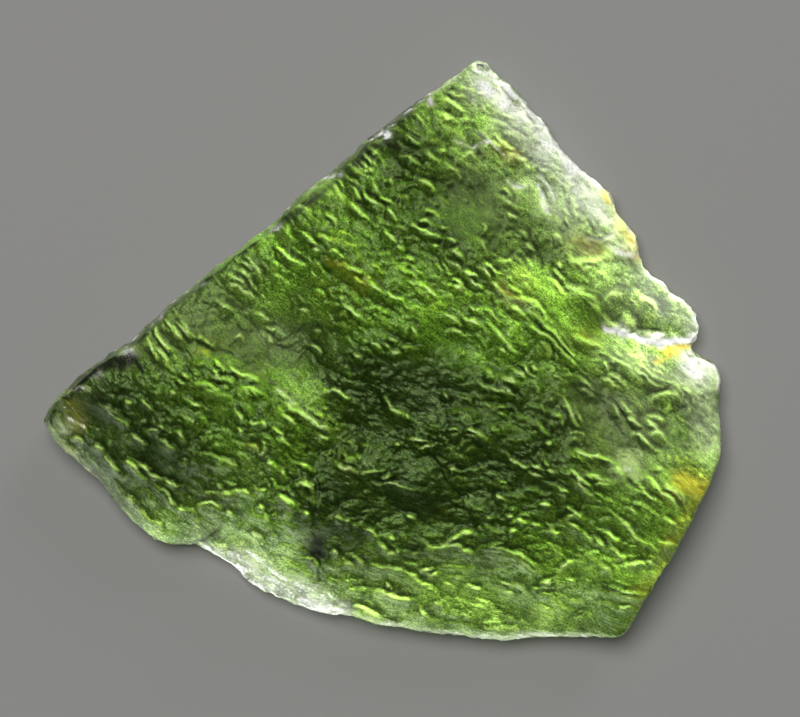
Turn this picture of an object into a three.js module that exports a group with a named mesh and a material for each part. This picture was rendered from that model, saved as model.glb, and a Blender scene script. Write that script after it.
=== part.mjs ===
// Raw moldavite, a natural bottle-green glass, formed and weathered as one piece: a flat, four-cornered plate,
// snapped off along its upper left edge and split clean along its lower right one, and etched all over into
// ridges, scallops, ledges and pits. Millimetres. It lies on its broad face, seen from above: +X points to the
// blunt right-hand lobe, +Y to the small knob at the far corner, +Z up. The origin is under its middle.
import * as THREE from "three";

// Driving sizes.
const SPAN_X = 36.0; // of the outline below
const SPAN_Y = 30.9;
const CROWN = 5.6; // usual height of the upper face, away from the rim
const LEAST_THICKNESS = 0.5; // of the thinnest rim
const OUTLINE_STEP = 0.55; // between neighbouring points along the outline
const TOP_STEP = 0.48; // between neighbouring points of the upper face
const UNDER_STEP = 0.95; // and of the underside
const CREST_STEP = 0.5; // between neighbouring points along a crest or a ledge
const FOOT = 0.38; // from a crest or a ledge's edge to the foot of its steep side
const FIELD_TURN = -34; // the rows of points run along the main flow, in degrees from +X
const FIELD_REACH = 26; // how far out the rows run, past the outline everywhere
const FAR_OUT = 1e4;
const CREST_ROOM = 0.6; // least distance between points along crests, as a share of the face's step
const FIELD_ROOM = 0.66; // and between the points of the field
const JITTER = 0.26; // how far a point strays from its even place, as a share of the step
const BLEND = 5; // rim points on either side over which one stretch's values run into the next one's
const RAGGED_UP = 1.5; // how much of a stretch's roughness shows in the height of the rim's upper edge
const RAGGED_IN = 0.8; // and in how far that edge lies inside the outline
const LEAST_LEAN = 0.05;
const BELLY = 0.4; // share of the rim's height at which it is widest
const WALL_ROWS = [0.2, BELLY, 0.62, 0.82]; // shares of the rim's height at which its wall has points
const SEED = 4257;
const GLASS_GREEN = 0x4f7a1e;
const GLASS_ROUGHNESS = 0.25;
const GLASS_OPACITY = 0.8;

// The outline, clockwise from the left tip, in named stretches. On each: top and under are the heights of the
// rim's upper and lower edge, lean and tuck how far these lie inside the outline, run how far in from the rim
// the upper face climbs to its full height, and rough how much the rim's edges wander.
const STRETCHES = [
  {
    name: "snapped edge",
    top: 5.3, under: 0.5, lean: 0.45, tuck: 0.3, run: 3.0, rough: 0.2,
    points: [
      [-18.01, -3.72], [-17.63, -2.86], [-16.55, -1.78], [-15.69, -0.96], [-14.71, -0.31], [-13.45, 0.57],
      [-12.08, 1.71], [-11.51, 2.36], [-10.7, 2.93], [-9.08, 4.3], [-7.05, 5.85], [-5.75, 6.9], [-4.79, 7.94],
    ],
  },
  {
    name: "far end of the snapped edge",
    top: 4.3, under: 0.6, lean: 0.4, tuck: 0.3, run: 4.0, rough: 0.2,
    points: [[-3.16, 9.21], [-2.27, 9.95], [-0.41, 11.59], [0.86, 12.56], [2.27, 13.59], [3.83, 14.56]],
  },
  {
    name: "knob",
    top: 2.4, under: 1.1, lean: 0.25, tuck: 0.25, run: 6.0, rough: 0.03,
    points: [[4.28, 14.94], [4.58, 15.31], [4.98, 15.43], [5.51, 15.3], [5.88, 14.85]],
  },
  {
    name: "thin edge",
    top: 1.8, under: 0.9, lean: 0.2, tuck: 0.2, run: 9.5, rough: 0.06,
    points: [
      [5.99, 14.53], [6.36, 14.43], [7.45, 13.42], [8.03, 12.57], [8.52, 12.25], [9.3, 11.01], [10.65, 9.52],
      [11.07, 9.31], [11.87, 8.49], [12.24, 8.3], [12.42, 7.39], [13.4, 6.23], [13.61, 5.87], [13.64, 4.95],
      [14.12, 4.1], [14.98, 3.67], [15.19, 3.37], [15.31, 2.93], [15.63, 2.92], [16.04, 2.72], [16.66, 1.83],
      [16.85, 0.93],
    ],
  },
  {
    name: "notch",
    top: 1.7, under: 0.9, lean: 0.08, tuck: 0.08, run: 7.0, rough: 0,
    points: [[16.78, 0.65], [16.51, 0.57], [16.28, 0.31], [16.37, 0.07], [16.56, -0.21]],
  },
  {
    name: "right-hand lobe",
    top: 2.1, under: 0.9, lean: 0.3, tuck: 0.3, run: 8.5, rough: 0.04,
    points: [
      [16.85, -0.28], [17.7, -0.73], [18.01, -1.44], [17.98, -1.95], [17.84, -2.8], [17.98, -4.01],
      [17.95, -5.47],
    ],
  },
  {
    name: "clean-split edge",
    top: 3.6, under: 0.5, lean: 0.12, tuck: 0.2, run: 6.0, rough: 0.06,
    points: [
      [17.56, -6.57], [17.01, -7.79], [16.34, -8.94], [15.49, -10.58], [14.41, -12.3], [13.65, -13.65],
      [12.89, -15.0],
    ],
  },
  {
    name: "bottom rim",
    top: 2.0, under: 0.8, lean: 0.3, tuck: 0.3, run: 8.5, rough: 0.05,
    points: [
      [12.62, -15.27], [12.4, -15.3], [10.44, -15.22], [9.51, -15.32], [8.63, -15.24], [6.87, -15.44],
      [5.82, -15.42], [3.88, -15.16], [2.91, -15.11], [1.6, -14.89], [-0.35, -14.61], [-0.87, -14.39],
      [-1.98, -14.13], [-3.47, -14.02],
    ],
  },
  {
    name: "chipped edge",
    top: 1.2, under: 0.5, lean: 0.12, tuck: 0.12, run: 6.0, rough: 0.03,
    points: [
      [-4.66, -13.54], [-5.93, -13.02], [-7.12, -12.42], [-8.16, -11.3], [-8.68, -11.16], [-9.2, -10.71],
      [-9.65, -10.56], [-10.02, -10.27],
    ],
  },
  {
    name: "left-hand lobe",
    top: 2.2, under: 0.8, lean: 0.35, tuck: 0.35, run: 6.5, rough: 0.05,
    points: [
      [-10.38, -10.32], [-11.05, -10.42], [-11.54, -10.36], [-12.02, -10.11], [-13.06, -9.32], [-13.85, -8.53],
      [-14.6, -7.56], [-15.36, -6.64], [-15.9, -6.32], [-16.23, -5.88], [-16.71, -5.61], [-17.41, -4.7],
    ],
  },
];

// Broad swells and hollows of the upper face: centre, reach along X and Y, and height.
const SWELLS = [
  { at: [1.5, 0.5], reach: [6.0, 3.5], height: 0.9 },
  { at: [-9.5, -1.5], reach: [4.0, 2.5], height: 0.5 },
  { at: [-5.5, 1.0], reach: [3.2, 2.2], height: -1.0 },
  { at: [-1.0, 5.5], reach: [4.5, 2.5], height: 0.6 },
  { at: [5.2, 6.0], reach: [2.4, 2.0], height: 0.7 },
  { at: [9.5, 9.0], reach: [5.5, 5.5], height: -1.5 },
  { at: [14.5, -1.0], reach: [4.0, 4.0], height: -1.5 },
  { at: [8.5, -5.0], reach: [4.5, 3.0], height: 0.5 },
  { at: [3.0, -13.0], reach: [9.0, 2.0], height: -1.2 },
  { at: [-12.5, -9.3], reach: [2.8, 1.6], height: -1.1 },
];

// Which way the glass flowed and was etched, in degrees from +X, at guide points on the upper face.
const FLOW = [
  [-15.5, -6.0, -58], [-12.5, -4.0, -48], [-9.7, 0.5, -48], [-7.6, 3.2, -50], [-1.7, 4.2, -36], [-0.2, 8.0, -50],
  [3.5, 12.7, -42], [9.4, 8.0, -60], [12.0, 3.2, -52], [6.2, 2.1, -34], [9.4, 0.0, -40], [13.6, -1.1, -32],
  [12.6, -4.2, -52], [15.7, -7.4, -55], [10.4, -6.9, -28], [3.6, -4.2, -12], [0.9, -5.8, -12], [-8.1, -5.3, -22],
  [5.1, -10.3, -8], [12.6, -12.7, -17], [0.9, -11.7, -22], [8.3, -13.3, -15], [-4.4, -8.5, -26], [15.7, -3.7, -68],
];

// Crests, each along its own line from left to right: steep on the right-hand side of the way along it.
const RIDGES = [
  { width: 0.9, height: 0.75, line: [[-4.1, 5.4], [-2.5, 4.6], [-1.2, 3.6], [0.3, 2.9]] },
  { width: 0.6, height: 0.45, line: [[-5.7, 5.5], [-4.4, 4.7], [-3.2, 3.9]] },
  { width: 0.5, height: 0.4, line: [[-3.2, 2.7], [-2.0, 2.3], [-0.7, 1.5]] },
  { width: 0.7, height: 0.6, line: [[5.6, 3.5], [7.0, 2.6], [8.6, 1.1], [10.3, -0.7]] },
  { width: 0.6, height: 0.5, line: [[6.2, 2.6], [7.5, 1.7], [9.4, 0.0]] },
  { width: 0.6, height: 0.45, line: [[2.8, 1.9], [4.3, 1.5], [6.2, 0.3]] },
  { width: 0.5, height: 0.45, line: [[4.8, -1.4], [5.9, -1.8], [6.9, -2.3]] },
  { width: 0.6, height: 0.5, line: [[9.5, -2.4], [10.0, -3.3], [10.5, -4.1]] },
  { width: 0.7, height: 0.45, line: [[3.3, -4.1], [4.3, -4.2], [5.6, -4.6]] },
  { width: 0.6, height: 0.5, line: [[7.2, -5.8], [8.6, -6.5], [9.7, -7.4]] },
  { width: 0.6, height: 0.5, line: [[9.1, -5.9], [10.2, -6.6], [11.3, -7.5]] },
  { width: 0.8, height: 0.65, line: [[1.6, -10.2], [3.6, -10.2], [6.0, -10.2], [7.3, -10.7], [9.0, -11.8]] },
  { width: 0.8, height: 0.55, line: [[-0.3, -11.2], [1.2, -11.5], [2.0, -12.1], [2.5, -12.7]] },
  { width: 0.6, height: 0.4, line: [[-0.2, -12.8], [1.2, -12.9], [2.1, -13.6]] },
  { width: 0.6, height: 0.5, line: [[11.7, -8.3], [13.7, -9.9], [14.5, -10.5]] },
  { width: 0.7, height: 0.4, line: [[11.7, 0.2], [12.8, -0.6], [14.1, -1.6], [16.2, -2.1]] },
  { width: 0.5, height: 0.35, line: [[11.5, -0.9], [12.1, -1.6], [13.6, -2.1]] },
  { width: 0.6, height: 0.45, line: [[11.7, -2.6], [12.6, -3.1], [13.7, -3.9]] },
  { width: 0.7, height: 0.6, line: [[-10.2, -1.3], [-8.9, -1.7], [-7.8, -2.4], [-6.7, -3.4]] },
  { width: 0.6, height: 0.5, line: [[-8.9, -0.1], [-7.7, -0.7], [-6.4, -1.6]] },
  { width: 0.6, height: 0.45, line: [[-10.7, 1.7], [-9.9, 0.8], [-8.9, -0.1]] },
  { width: 0.6, height: 0.5, line: [[-8.3, 4.3], [-7.4, 3.2], [-6.4, 2.0]] },
  { width: 0.7, height: 0.5, line: [[-9.7, -5.4], [-8.4, -5.4], [-7.5, -5.9]] },
  { width: 0.6, height: 0.45, line: [[-8.7, -7.0], [-7.6, -7.3], [-6.7, -7.8]] },
  { width: 0.7, height: 0.5, line: [[-6.1, -4.3], [-5.2, -4.2], [-4.5, -4.9]] },
  { width: 0.8, height: 0.6, line: [[-2.3, 9.2], [-1.0, 8.2], [-0.2, 7.6], [0.8, 6.6]] },
  { width: 0.6, height: 0.45, line: [[-1.3, 10.6], [-0.7, 10.0], [-0.2, 9.2]] },
  { width: 0.7, height: 0.55, line: [[0.9, 6.6], [2.2, 6.4], [3.3, 5.6], [4.4, 4.9]] },
  { width: 0.6, height: 0.5, line: [[0.1, 6.3], [0.7, 5.5], [1.5, 5.1]] },
  { width: 0.5, height: 0.35, line: [[3.0, 13.3], [4.0, 12.6], [4.8, 11.8]] },
  { width: 0.7, height: 0.6, line: [[-0.7, 0.5], [0.6, 0.4], [2.2, 0.1]] },
  { width: 0.6, height: 0.45, line: [[-2.4, -5.8], [-1.2, -6.1], [0.2, -5.9], [1.1, -6.0]] },
  { width: 0.5, height: 0.4, line: [[-0.7, -6.8], [1.2, -7.0]] },
  { width: 0.5, height: 0.35, line: [[11.7, -12.4], [13.1, -12.9], [14.2, -13.1]] },
  { width: 0.7, height: 0.5, line: [[5.1, 4.7], [6.2, 4.0], [7.3, 3.2]] },
  { width: 0.7, height: 0.5, line: [[9.2, 5.0], [10.4, 4.7], [11.5, 4.7]] },
  { width: 0.6, height: 0.45, line: [[0.9, 8.7], [1.5, 8.7], [2.6, 8.4]] },
  { width: 0.6, height: 0.45, line: [[1.1, 9.8], [2.2, 9.5], [3.0, 9.0]] },
  { width: 0.7, height: 0.5, line: [[3.4, 5.1], [4.5, 4.7], [5.0, 3.9]] },
  { width: 0.7, height: 0.5, line: [[8.1, 6.4], [9.0, 6.1], [9.7, 5.3]] },
  { width: 0.7, height: 0.45, line: [[11.5, 3.2], [12.6, 2.6], [13.6, 2.0]] },
  { width: 0.6, height: 0.45, line: [[-14.7, -2.9], [-13.9, -3.2], [-13.0, -3.9]] },
  { width: 0.7, height: 0.5, line: [[-12.5, -4.0], [-11.5, -4.3], [-10.2, -5.2]] },
  { width: 0.6, height: 0.4, line: [[-16.5, -4.3], [-15.1, -5.1], [-13.8, -6.7]] },
  { width: 0.7, height: 0.5, line: [[-8.5, -3.3], [-7.3, -4.0], [-6.4, -4.9]] },
  { width: 0.6, height: 0.45, line: [[1.1, -4.7], [2.6, -4.7]] },
  { width: 0.6, height: 0.45, line: [[9.7, -5.1], [10.7, -5.5], [11.8, -5.6]] },
  { width: 0.6, height: 0.45, line: [[0.6, -6.9], [1.7, -7.1], [3.0, -7.5]] },
  { width: 0.6, height: 0.45, line: [[11.5, -9.4], [12.7, -10.1], [13.7, -10.9]] },
  { width: 0.7, height: 0.5, line: [[6.1, -11.2], [7.3, -11.9], [8.6, -12.8]] },
  { width: 0.6, height: 0.45, line: [[3.6, -8.0], [5.1, -8.2], [6.4, -8.8]] },
  { width: 0.6, height: 0.45, line: [[-2.5, -9.0], [-1.6, -9.4], [-0.6, -10.3]] },
  { width: 0.6, height: 0.35, line: [[7.3, 11.7], [8.6, 10.6], [9.5, 9.4]] },
  { width: 0.5, height: 0.3, line: [[5.7, 13.0], [7.0, 12.1]] },
  { width: 0.6, height: 0.35, line: [[14.4, -4.8], [15.1, -5.9], [15.7, -7.3]] },
  { width: 0.6, height: 0.4, line: [[13.1, -6.9], [14.2, -7.9], [15.1, -8.7]] },
];

const STEEP_SIDE = 0.45; // the steep side's width as a share of the other side's
const BLUNT_ENDS = 0.12; // how far from a point a crest's ends stop, as a share

// Ledges: the upper face drops along the line, on the right-hand side of the way along it, and climbs back
// over fade.
const LEDGE_WALL = 0.3; // how wide the drop is, seen from above
const LEDGE_ENDS = 0.08; // share of the line over which the drop sets in at either end
const LEDGES = [
  { drop: 0.7, fade: 2.0, line: [[-2.4, -5.9], [-2.5, -5.2], [-3.2, -3.7], [-4.1, -2.7], [-6.4, -1.2]] },
  { drop: 0.7, fade: 1.6, line: [[3.5, 11.3], [4.2, 10.8], [4.9, 10.7], [5.7, 10.8], [6.5, 8.6]] },
  { drop: 0.5, fade: 1.2, line: [[5.7, 10.8], [5.1, 11.3], [4.6, 12.0]] },
  { drop: 0.5, fade: 1.5, line: [[-6.4, -1.2], [-7.2, 0.5], [-8.5, 2.7]] },
  { drop: 0.5, fade: 2.0, line: [[13.6, -6.2], [13.5, -5.6], [12.9, -4.8], [11.7, -3.3], [10.9, -2.0]] },
];

// Grooves, as ridges turned inside out, and even on both sides.
const GROOVES = [
  { width: 0.75, height: -1.6, line: [[11.7, 1.2], [12.9, 0.9], [13.9, 0.4], [14.9, 0.4], [16.0, 0.45]] },
  { width: 0.35, height: -0.8, line: [[-9.6, -10.0], [-8.4, -9.4]] },
  { width: 0.4, height: -0.35, line: [[-6.4, -1.2], [-5.7, 0.3], [-4.4, -0.1], [-3.4, 0.3], [-2.6, -0.6]] },
  { width: 0.4, height: -0.35, line: [[-5.7, 0.3], [-6.1, 1.7], [-4.4, 2.2], [-2.8, 1.7], [-3.4, 0.3]] },
  { width: 0.4, height: -0.4, line: [[4.6, 8.5], [5.1, 7.2]] },
];

// Pits: centre, half length and half width, the turn of the long way in degrees from +X, and depth.
const PITS = [
  { at: [8.55, 8.3], half: [1.2, 0.45], turn: -57, depth: 0.9 },
  { at: [14.9, -2.9], half: [1.3, 0.7], turn: -10, depth: 0.8 },
  { at: [-8.3, -8.0], half: [1.9, 0.8], turn: -8, depth: 0.8 },
  { at: [10.9, 5.4], half: [1.3, 0.8], turn: -10, depth: 0.7 },
  { at: [-3.4, -10.5], half: [0.6, 0.5], turn: 0, depth: 1.2 },
  { at: [-16.1, -3.4], half: [0.8, 0.8], turn: 0, depth: 0.5 },
  { at: [12.9, -6.3], half: [0.8, 0.6], turn: -60, depth: 0.35 },
  { at: [5.1, 14.95], half: [0.5, 0.35], turn: 10, depth: 0.4 },
];

// Round knobs of the upper face: centre, radius and height.
const BUMPS = [
  { at: [-5.4, -4.9], radius: 1.1, height: 0.6 },
  { at: [-6.6, -2.5], radius: 0.9, height: 0.5 },
  { at: [-4.2, -8.4], radius: 1.1, height: 0.6 },
  { at: [-13.0, -9.0], radius: 1.3, height: 0.5 },
  { at: [5.1, 15.0], radius: 0.7, height: 0.7 },
];

// Small flakes off the upper edge of the snapped side: centre, radius and depth.
const FLAKES = [
  { at: [-13.2, 0.1], radius: 0.7, depth: 1.1 },
  { at: [-9.9, 3.0], radius: 0.5, depth: 0.6 },
  { at: [-6.2, 6.3], radius: 0.65, depth: 0.9 },
  { at: [-2.6, 9.1], radius: 0.7, depth: 0.9 },
  { at: [0.1, 11.4], radius: 0.65, depth: 0.9 },
  { at: [2.5, 13.3], radius: 0.55, depth: 0.8 },
];

// The chip off the lower left edge: its inner border, corners off the stone that close its area, and how thick
// the glass is that it left, at its rim and more at the foot of the border's wall.
const CHIP_LINE = [
  [-10.0, -10.2], [-8.3, -9.4], [-7.4, -9.4], [-6.0, -10.7], [-4.3, -12.2], [-3.3, -12.5], [-2.4, -13.2],
  [-1.6, -14.0],
];
const CHIP_OUTSIDE = [[-3, -18], [-14, -18], [-12, -12]];
const CHIP_HEIGHT = 1.3;
const CHIP_RISE = 0.55;
const CHIP_WALL = 0.35;

// Scallops, small spoon-shaped hollows strewn along the flow: their half length, half width and depth from
// least to most, how far they turn off the flow at most, and how near they come to the rim.
const SCALLOPS = { count: 440, long: [0.9, 2.2], wide: [0.45, 0.95], deep: [0.15, 0.45], turn: 15, clear: 0.6 };

// The underside: its usual height over the ground, the lumps that it rests on, with their feet worn flat at
// the ground, and its own hollows.
const UNDER_MIDDLE = 0.3;
const UNDER_RUN = 5.0;
const NEAR_RIM = 6; // how fast a rim point stops counting with its distance
const FEET = [
  { at: [0.5, -2.5], radius: 3.4, depth: 0.75 },
  { at: [-10.5, -3.5], radius: 2.6, depth: 0.75 },
  { at: [2.5, 8.5], radius: 2.4, depth: 0.75 },
  { at: [11.0, -8.5], radius: 2.8, depth: 0.75 },
  { at: [10.5, 2.5], radius: 2.2, depth: 0.7 },
];
const HOLLOWS = { count: 190, long: [1.2, 2.8], wide: [0.8, 1.4], deep: [0.2, 0.6], turn: 15, clear: 0.7 };

const radians = (degrees) => (degrees * Math.PI) / 180;
const mix = (a, b, share) => a + (b - a) * share;
const bell = (distance, reach) => Math.exp(-((distance / reach) ** 2));

function smoothStep(from, to, value) {
  const share = THREE.MathUtils.clamp((value - from) / (to - from), 0, 1);
  return share * share * (3 - 2 * share);
}

// A repeatable source of even random numbers between 0 and 1.
function randomSource(seed) {
  let state = seed;
  return () => {
    state = (state * 1664525 + 1013904223) % 4294967296;
    return state / 4294967296;
  };
}

// Points at an even step along a smooth curve through the given ones.
function along(line, step) {
  const curve = new THREE.CatmullRomCurve3(line.map(([x, y]) => new THREE.Vector3(x, y, 0)), false, "centripetal");
  const pieces = Math.max(2, Math.round(curve.getLength() / step));
  return curve.getSpacedPoints(pieces).map((point) => [point.x, point.y]);
}

// The same line moved to the right-hand side of the way along it.
function shifted(line, by) {
  return line.map(([x, y], i) => {
    const behind = line[Math.max(0, i - 1)];
    const ahead = line[Math.min(line.length - 1, i + 1)];
    const dx = ahead[0] - behind[0];
    const dy = ahead[1] - behind[1];
    const share = by / Math.hypot(dx, dy);
    return [x + dy * share, y - dx * share];
  });
}

// The nearest place on a line: its distance, its share of the way along, and whether it is passed on the left.
function nearestOn(line, x, y) {
  let best = { distance: Infinity };
  for (let i = 0; i < line.length - 1; i += 1) {
    const [ax, ay] = line[i];
    const dx = line[i + 1][0] - ax;
    const dy = line[i + 1][1] - ay;
    const share = THREE.MathUtils.clamp(((x - ax) * dx + (y - ay) * dy) / (dx * dx + dy * dy), 0, 1);
    const distance = Math.hypot(x - ax - share * dx, y - ay - share * dy);
    if (distance < best.distance) {
      const left = dx * (y - ay) - dy * (x - ax) > 0;
      best = { distance, left, share: (i + share) / (line.length - 1) };
    }
  }
  return best;
}

function isInside(loop, x, y) {
  let inside = false;
  for (let i = 0, j = loop.length - 1; i < loop.length; j = i, i += 1) {
    const [ax, ay] = loop[i];
    const [bx, by] = loop[j];
    if (ay > y !== by > y && x < ((bx - ax) * (y - ay)) / (by - ay) + ax) {
      inside = !inside;
    }
  }
  return inside;
}

// The rim: the whole outline at an even step, anticlockwise, each point with the values of its stretch, which
// run smoothly from one stretch into the next.
function makeRim() {
  const corners = STRETCHES.flatMap((stretch) => stretch.points.map(([x, y]) => ({ x, y, stretch }))).reverse();
  const curve = new THREE.CatmullRomCurve3(
    corners.map(({ x, y }) => new THREE.Vector3(x, y, 0)),
    true,
    "centripetal",
  );
  curve.arcLengthDivisions = corners.length * 20;
  const count = Math.round(curve.getLength() / OUTLINE_STEP);
  const random = randomSource(SEED);
  const rim = [];
  for (let i = 0; i < count; i += 1) {
    const t = curve.getUtoTmapping(i / count) * corners.length;
    const { stretch } = corners[Math.round(t) % corners.length];
    const place = curve.getPoint(t / corners.length);
    const wander = mix(-stretch.rough, stretch.rough, random());
    rim.push({ x: place.x, y: place.y, ...stretch, wander });
  }
  return rim.map((point, i) => {
    const smooth = { x: point.x, y: point.y, rough: point.rough };
    for (const key of ["top", "under", "lean", "tuck", "run"]) {
      let sum = 0;
      for (let k = -BLEND; k <= BLEND; k += 1) {
        sum += rim[(i + k + count) % count][key];
      }
      smooth[key] = sum / (2 * BLEND + 1);
    }
    smooth.top += point.wander * RAGGED_UP;
    smooth.lean = Math.max(LEAST_LEAN, smooth.lean + point.wander * RAGGED_IN);
    const before = rim[(i + count - 1) % count];
    const after = rim[(i + 1) % count];
    const span = Math.hypot(after.x - before.x, after.y - before.y);
    smooth.inward = [-(after.y - before.y) / span, (after.x - before.x) / span];
    return smooth;
  });
}

// Spoon-shaped hollows strewn over the outline, turned along the flow. None comes nearer to the rim than clear.
function strewHollows(rim, kind, seed) {
  const random = randomSource(seed);
  const loop = rim.map(({ x, y }) => [x, y]);
  const hollows = [];
  while (hollows.length < kind.count) {
    const x = (random() - 0.5) * SPAN_X;
    const y = (random() - 0.5) * SPAN_Y;
    const size = random();
    const turn = flowAngle(x, y) + mix(-kind.turn, kind.turn, random());
    const depth = mix(kind.deep[0], kind.deep[1], random());
    if (isInside(loop, x, y) && nearestOn(loop, x, y).distance > kind.clear) {
      const half = [mix(kind.long[0], kind.long[1], size), mix(kind.wide[0], kind.wide[1], size)];
      hollows.push({ at: [x, y], half, turn, depth });
    }
  }
  return hollows;
}

// The way of the flow at a place, in degrees, from the guide points round it.
function flowAngle(x, y) {
  let sum = 0;
  let weights = 0;
  for (const [gx, gy, angle] of FLOW) {
    const weight = 1 / ((x - gx) ** 2 + (y - gy) ** 2 + 0.5) ** 2;
    sum += weight * angle;
    weights += weight;
  }
  return sum / weights;
}

// How deep a pit is at a place: rounded, a little steeper on its lower side.
function pitDepth({ at, half, turn, depth }, x, y) {
  const c = Math.cos(radians(turn));
  const s = Math.sin(radians(turn));
  const u = ((x - at[0]) * c + (y - at[1]) * s) / half[0];
  const v = ((y - at[1]) * c - (x - at[0]) * s) / half[1];
  const r = u * u + v * v;
  return r < 1 ? depth * (1 - r) ** 1.5 : 0;
}

// How high a crest stands at a place. Its ends taper off; a groove is even all along and on both sides.
function ridgeHeight({ width, height, line }, x, y) {
  const { distance, left, share } = nearestOn(line, x, y);
  if (height < 0) {
    return height * bell(distance, width);
  }
  const taper = Math.sqrt(Math.sin(Math.PI * mix(share, 0.5, BLUNT_ENDS)));
  return height * taper * bell(distance, left ? width : width * STEEP_SIDE);
}

// How far a ledge has dropped at a place.
function ledgeDrop({ drop, fade, line }, x, y) {
  const { distance, left, share } = nearestOn(line, x, y);
  const ends = smoothStep(0, LEDGE_ENDS, share) * smoothStep(0, LEDGE_ENDS, 1 - share);
  return left ? 0 : drop * ends * smoothStep(0, LEDGE_WALL, distance) * Math.exp(-distance / fade);
}

// How much the flakes take off the rim's upper edge at a place.
function flaked(x, y) {
  let sum = 0;
  for (const { at, radius, depth } of FLAKES) {
    sum += depth * bell(Math.hypot(x - at[0], y - at[1]), radius);
  }
  return sum;
}

// Height of a face that runs from the rim's own edge height up, or down, to its middle height. The nearest
// rim points count most.
function domed(rim, x, y, edge, middle, runOf) {
  let sum = 0;
  let weights = 0;
  for (const point of rim) {
    const t = Math.min(1, Math.hypot(x - point.x, y - point.y) / runOf(point));
    const height = mix(point[edge], middle, t * (2 - t));
    const weight = Math.exp(-NEAR_RIM * t) * (1 - t) + Number.EPSILON;
    sum += weight * height;
    weights += weight;
  }
  return sum / weights;
}

function makeUnderside(rim) {
  const hollows = strewHollows(rim, HOLLOWS, SEED + 2);
  return (x, y) => {
    let height = domed(rim, x, y, "under", UNDER_MIDDLE, () => UNDER_RUN);
    for (const hollow of hollows) {
      height += pitDepth(hollow, x, y);
    }
    for (const { at, radius, depth } of FEET) {
      height -= 2 * depth * bell(Math.hypot(x - at[0], y - at[1]), radius);
    }
    return Math.max(0, height);
  };
}

function makeTop(rim, underside) {
  const scallops = strewHollows(rim, SCALLOPS, SEED + 1);
  const chip = [...CHIP_LINE, ...CHIP_OUTSIDE];
  return (x, y) => {
    let crown = CROWN;
    for (const { at, reach, height } of SWELLS) {
      crown += height * bell(1, 1 / Math.hypot((x - at[0]) / reach[0], (y - at[1]) / reach[1]));
    }
    let height = domed(rim, x, y, "top", crown, (point) => point.run);
    for (const ridge of [...RIDGES, ...GROOVES]) {
      height += ridgeHeight(ridge, x, y);
    }
    for (const ledge of LEDGES) {
      height -= ledgeDrop(ledge, x, y);
    }
    for (const pit of [...PITS, ...scallops]) {
      height -= pitDepth(pit, x, y);
    }
    for (const { at, radius, height: rise } of BUMPS) {
      height += rise * bell(Math.hypot(x - at[0], y - at[1]), radius);
    }
    height -= flaked(x, y);
    if (isInside(chip, x, y)) {
      const { distance } = nearestOn(CHIP_LINE, x, y);
      const floor = CHIP_HEIGHT + CHIP_RISE * Math.exp(-distance);
      height = mix(height, Math.min(height, floor), smoothStep(0, CHIP_WALL, distance));
    }
    return Math.max(height, underside(x, y) + LEAST_THICKNESS);
  };
}

// Delaunay triangles over points in the plane, as triples of their numbers, anticlockwise. Points are added
// from left to right, so a triangle is done once its circle lies wholly to the left. The first triangle, far
// round all the points, is left out at the end.
function triangulate(points) {
  const all = [...points, [-FAR_OUT, -FAR_OUT], [FAR_OUT, -FAR_OUT], [0, FAR_OUT]];
  const order = points.map((_, i) => i).sort((a, b) => points[a][0] - points[b][0]);
  const circled = (a, b, c) => {
    const [ax, ay] = all[a];
    const [bx, by] = [all[b][0] - ax, all[b][1] - ay];
    const [cx, cy] = [all[c][0] - ax, all[c][1] - ay];
    const d = 2 * (bx * cy - by * cx);
    const ux = (cy * (bx * bx + by * by) - by * (cx * cx + cy * cy)) / d;
    const uy = (bx * (cx * cx + cy * cy) - cx * (bx * bx + by * by)) / d;
    return { corners: [a, b, c], x: ax + ux, y: ay + uy, reach: ux * ux + uy * uy };
  };
  const done = [];
  let open = [circled(points.length, points.length + 1, points.length + 2)];
  for (const i of order) {
    const [x, y] = points[i];
    const kept = [];
    const border = new Map();
    for (const triangle of open) {
      const dx = x - triangle.x;
      const dy = y - triangle.y;
      if (dx > 0 && dx * dx > triangle.reach) {
        done.push(triangle);
      } else if (dx * dx + dy * dy >= triangle.reach) {
        kept.push(triangle);
      } else {
        const [a, b, c] = triangle.corners;
        for (const [from, to] of [[a, b], [b, c], [c, a]]) {
          if (!border.delete(`${to},${from}`)) {
            border.set(`${from},${to}`, [from, to]);
          }
        }
      }
    }
    for (const [from, to] of border.values()) {
      kept.push(circled(from, to, i));
    }
    open = kept;
  }
  const triples = [...done, ...open].map(({ corners }) => corners);
  return triples.filter((corners) => Math.max(...corners) < points.length);
}

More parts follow.
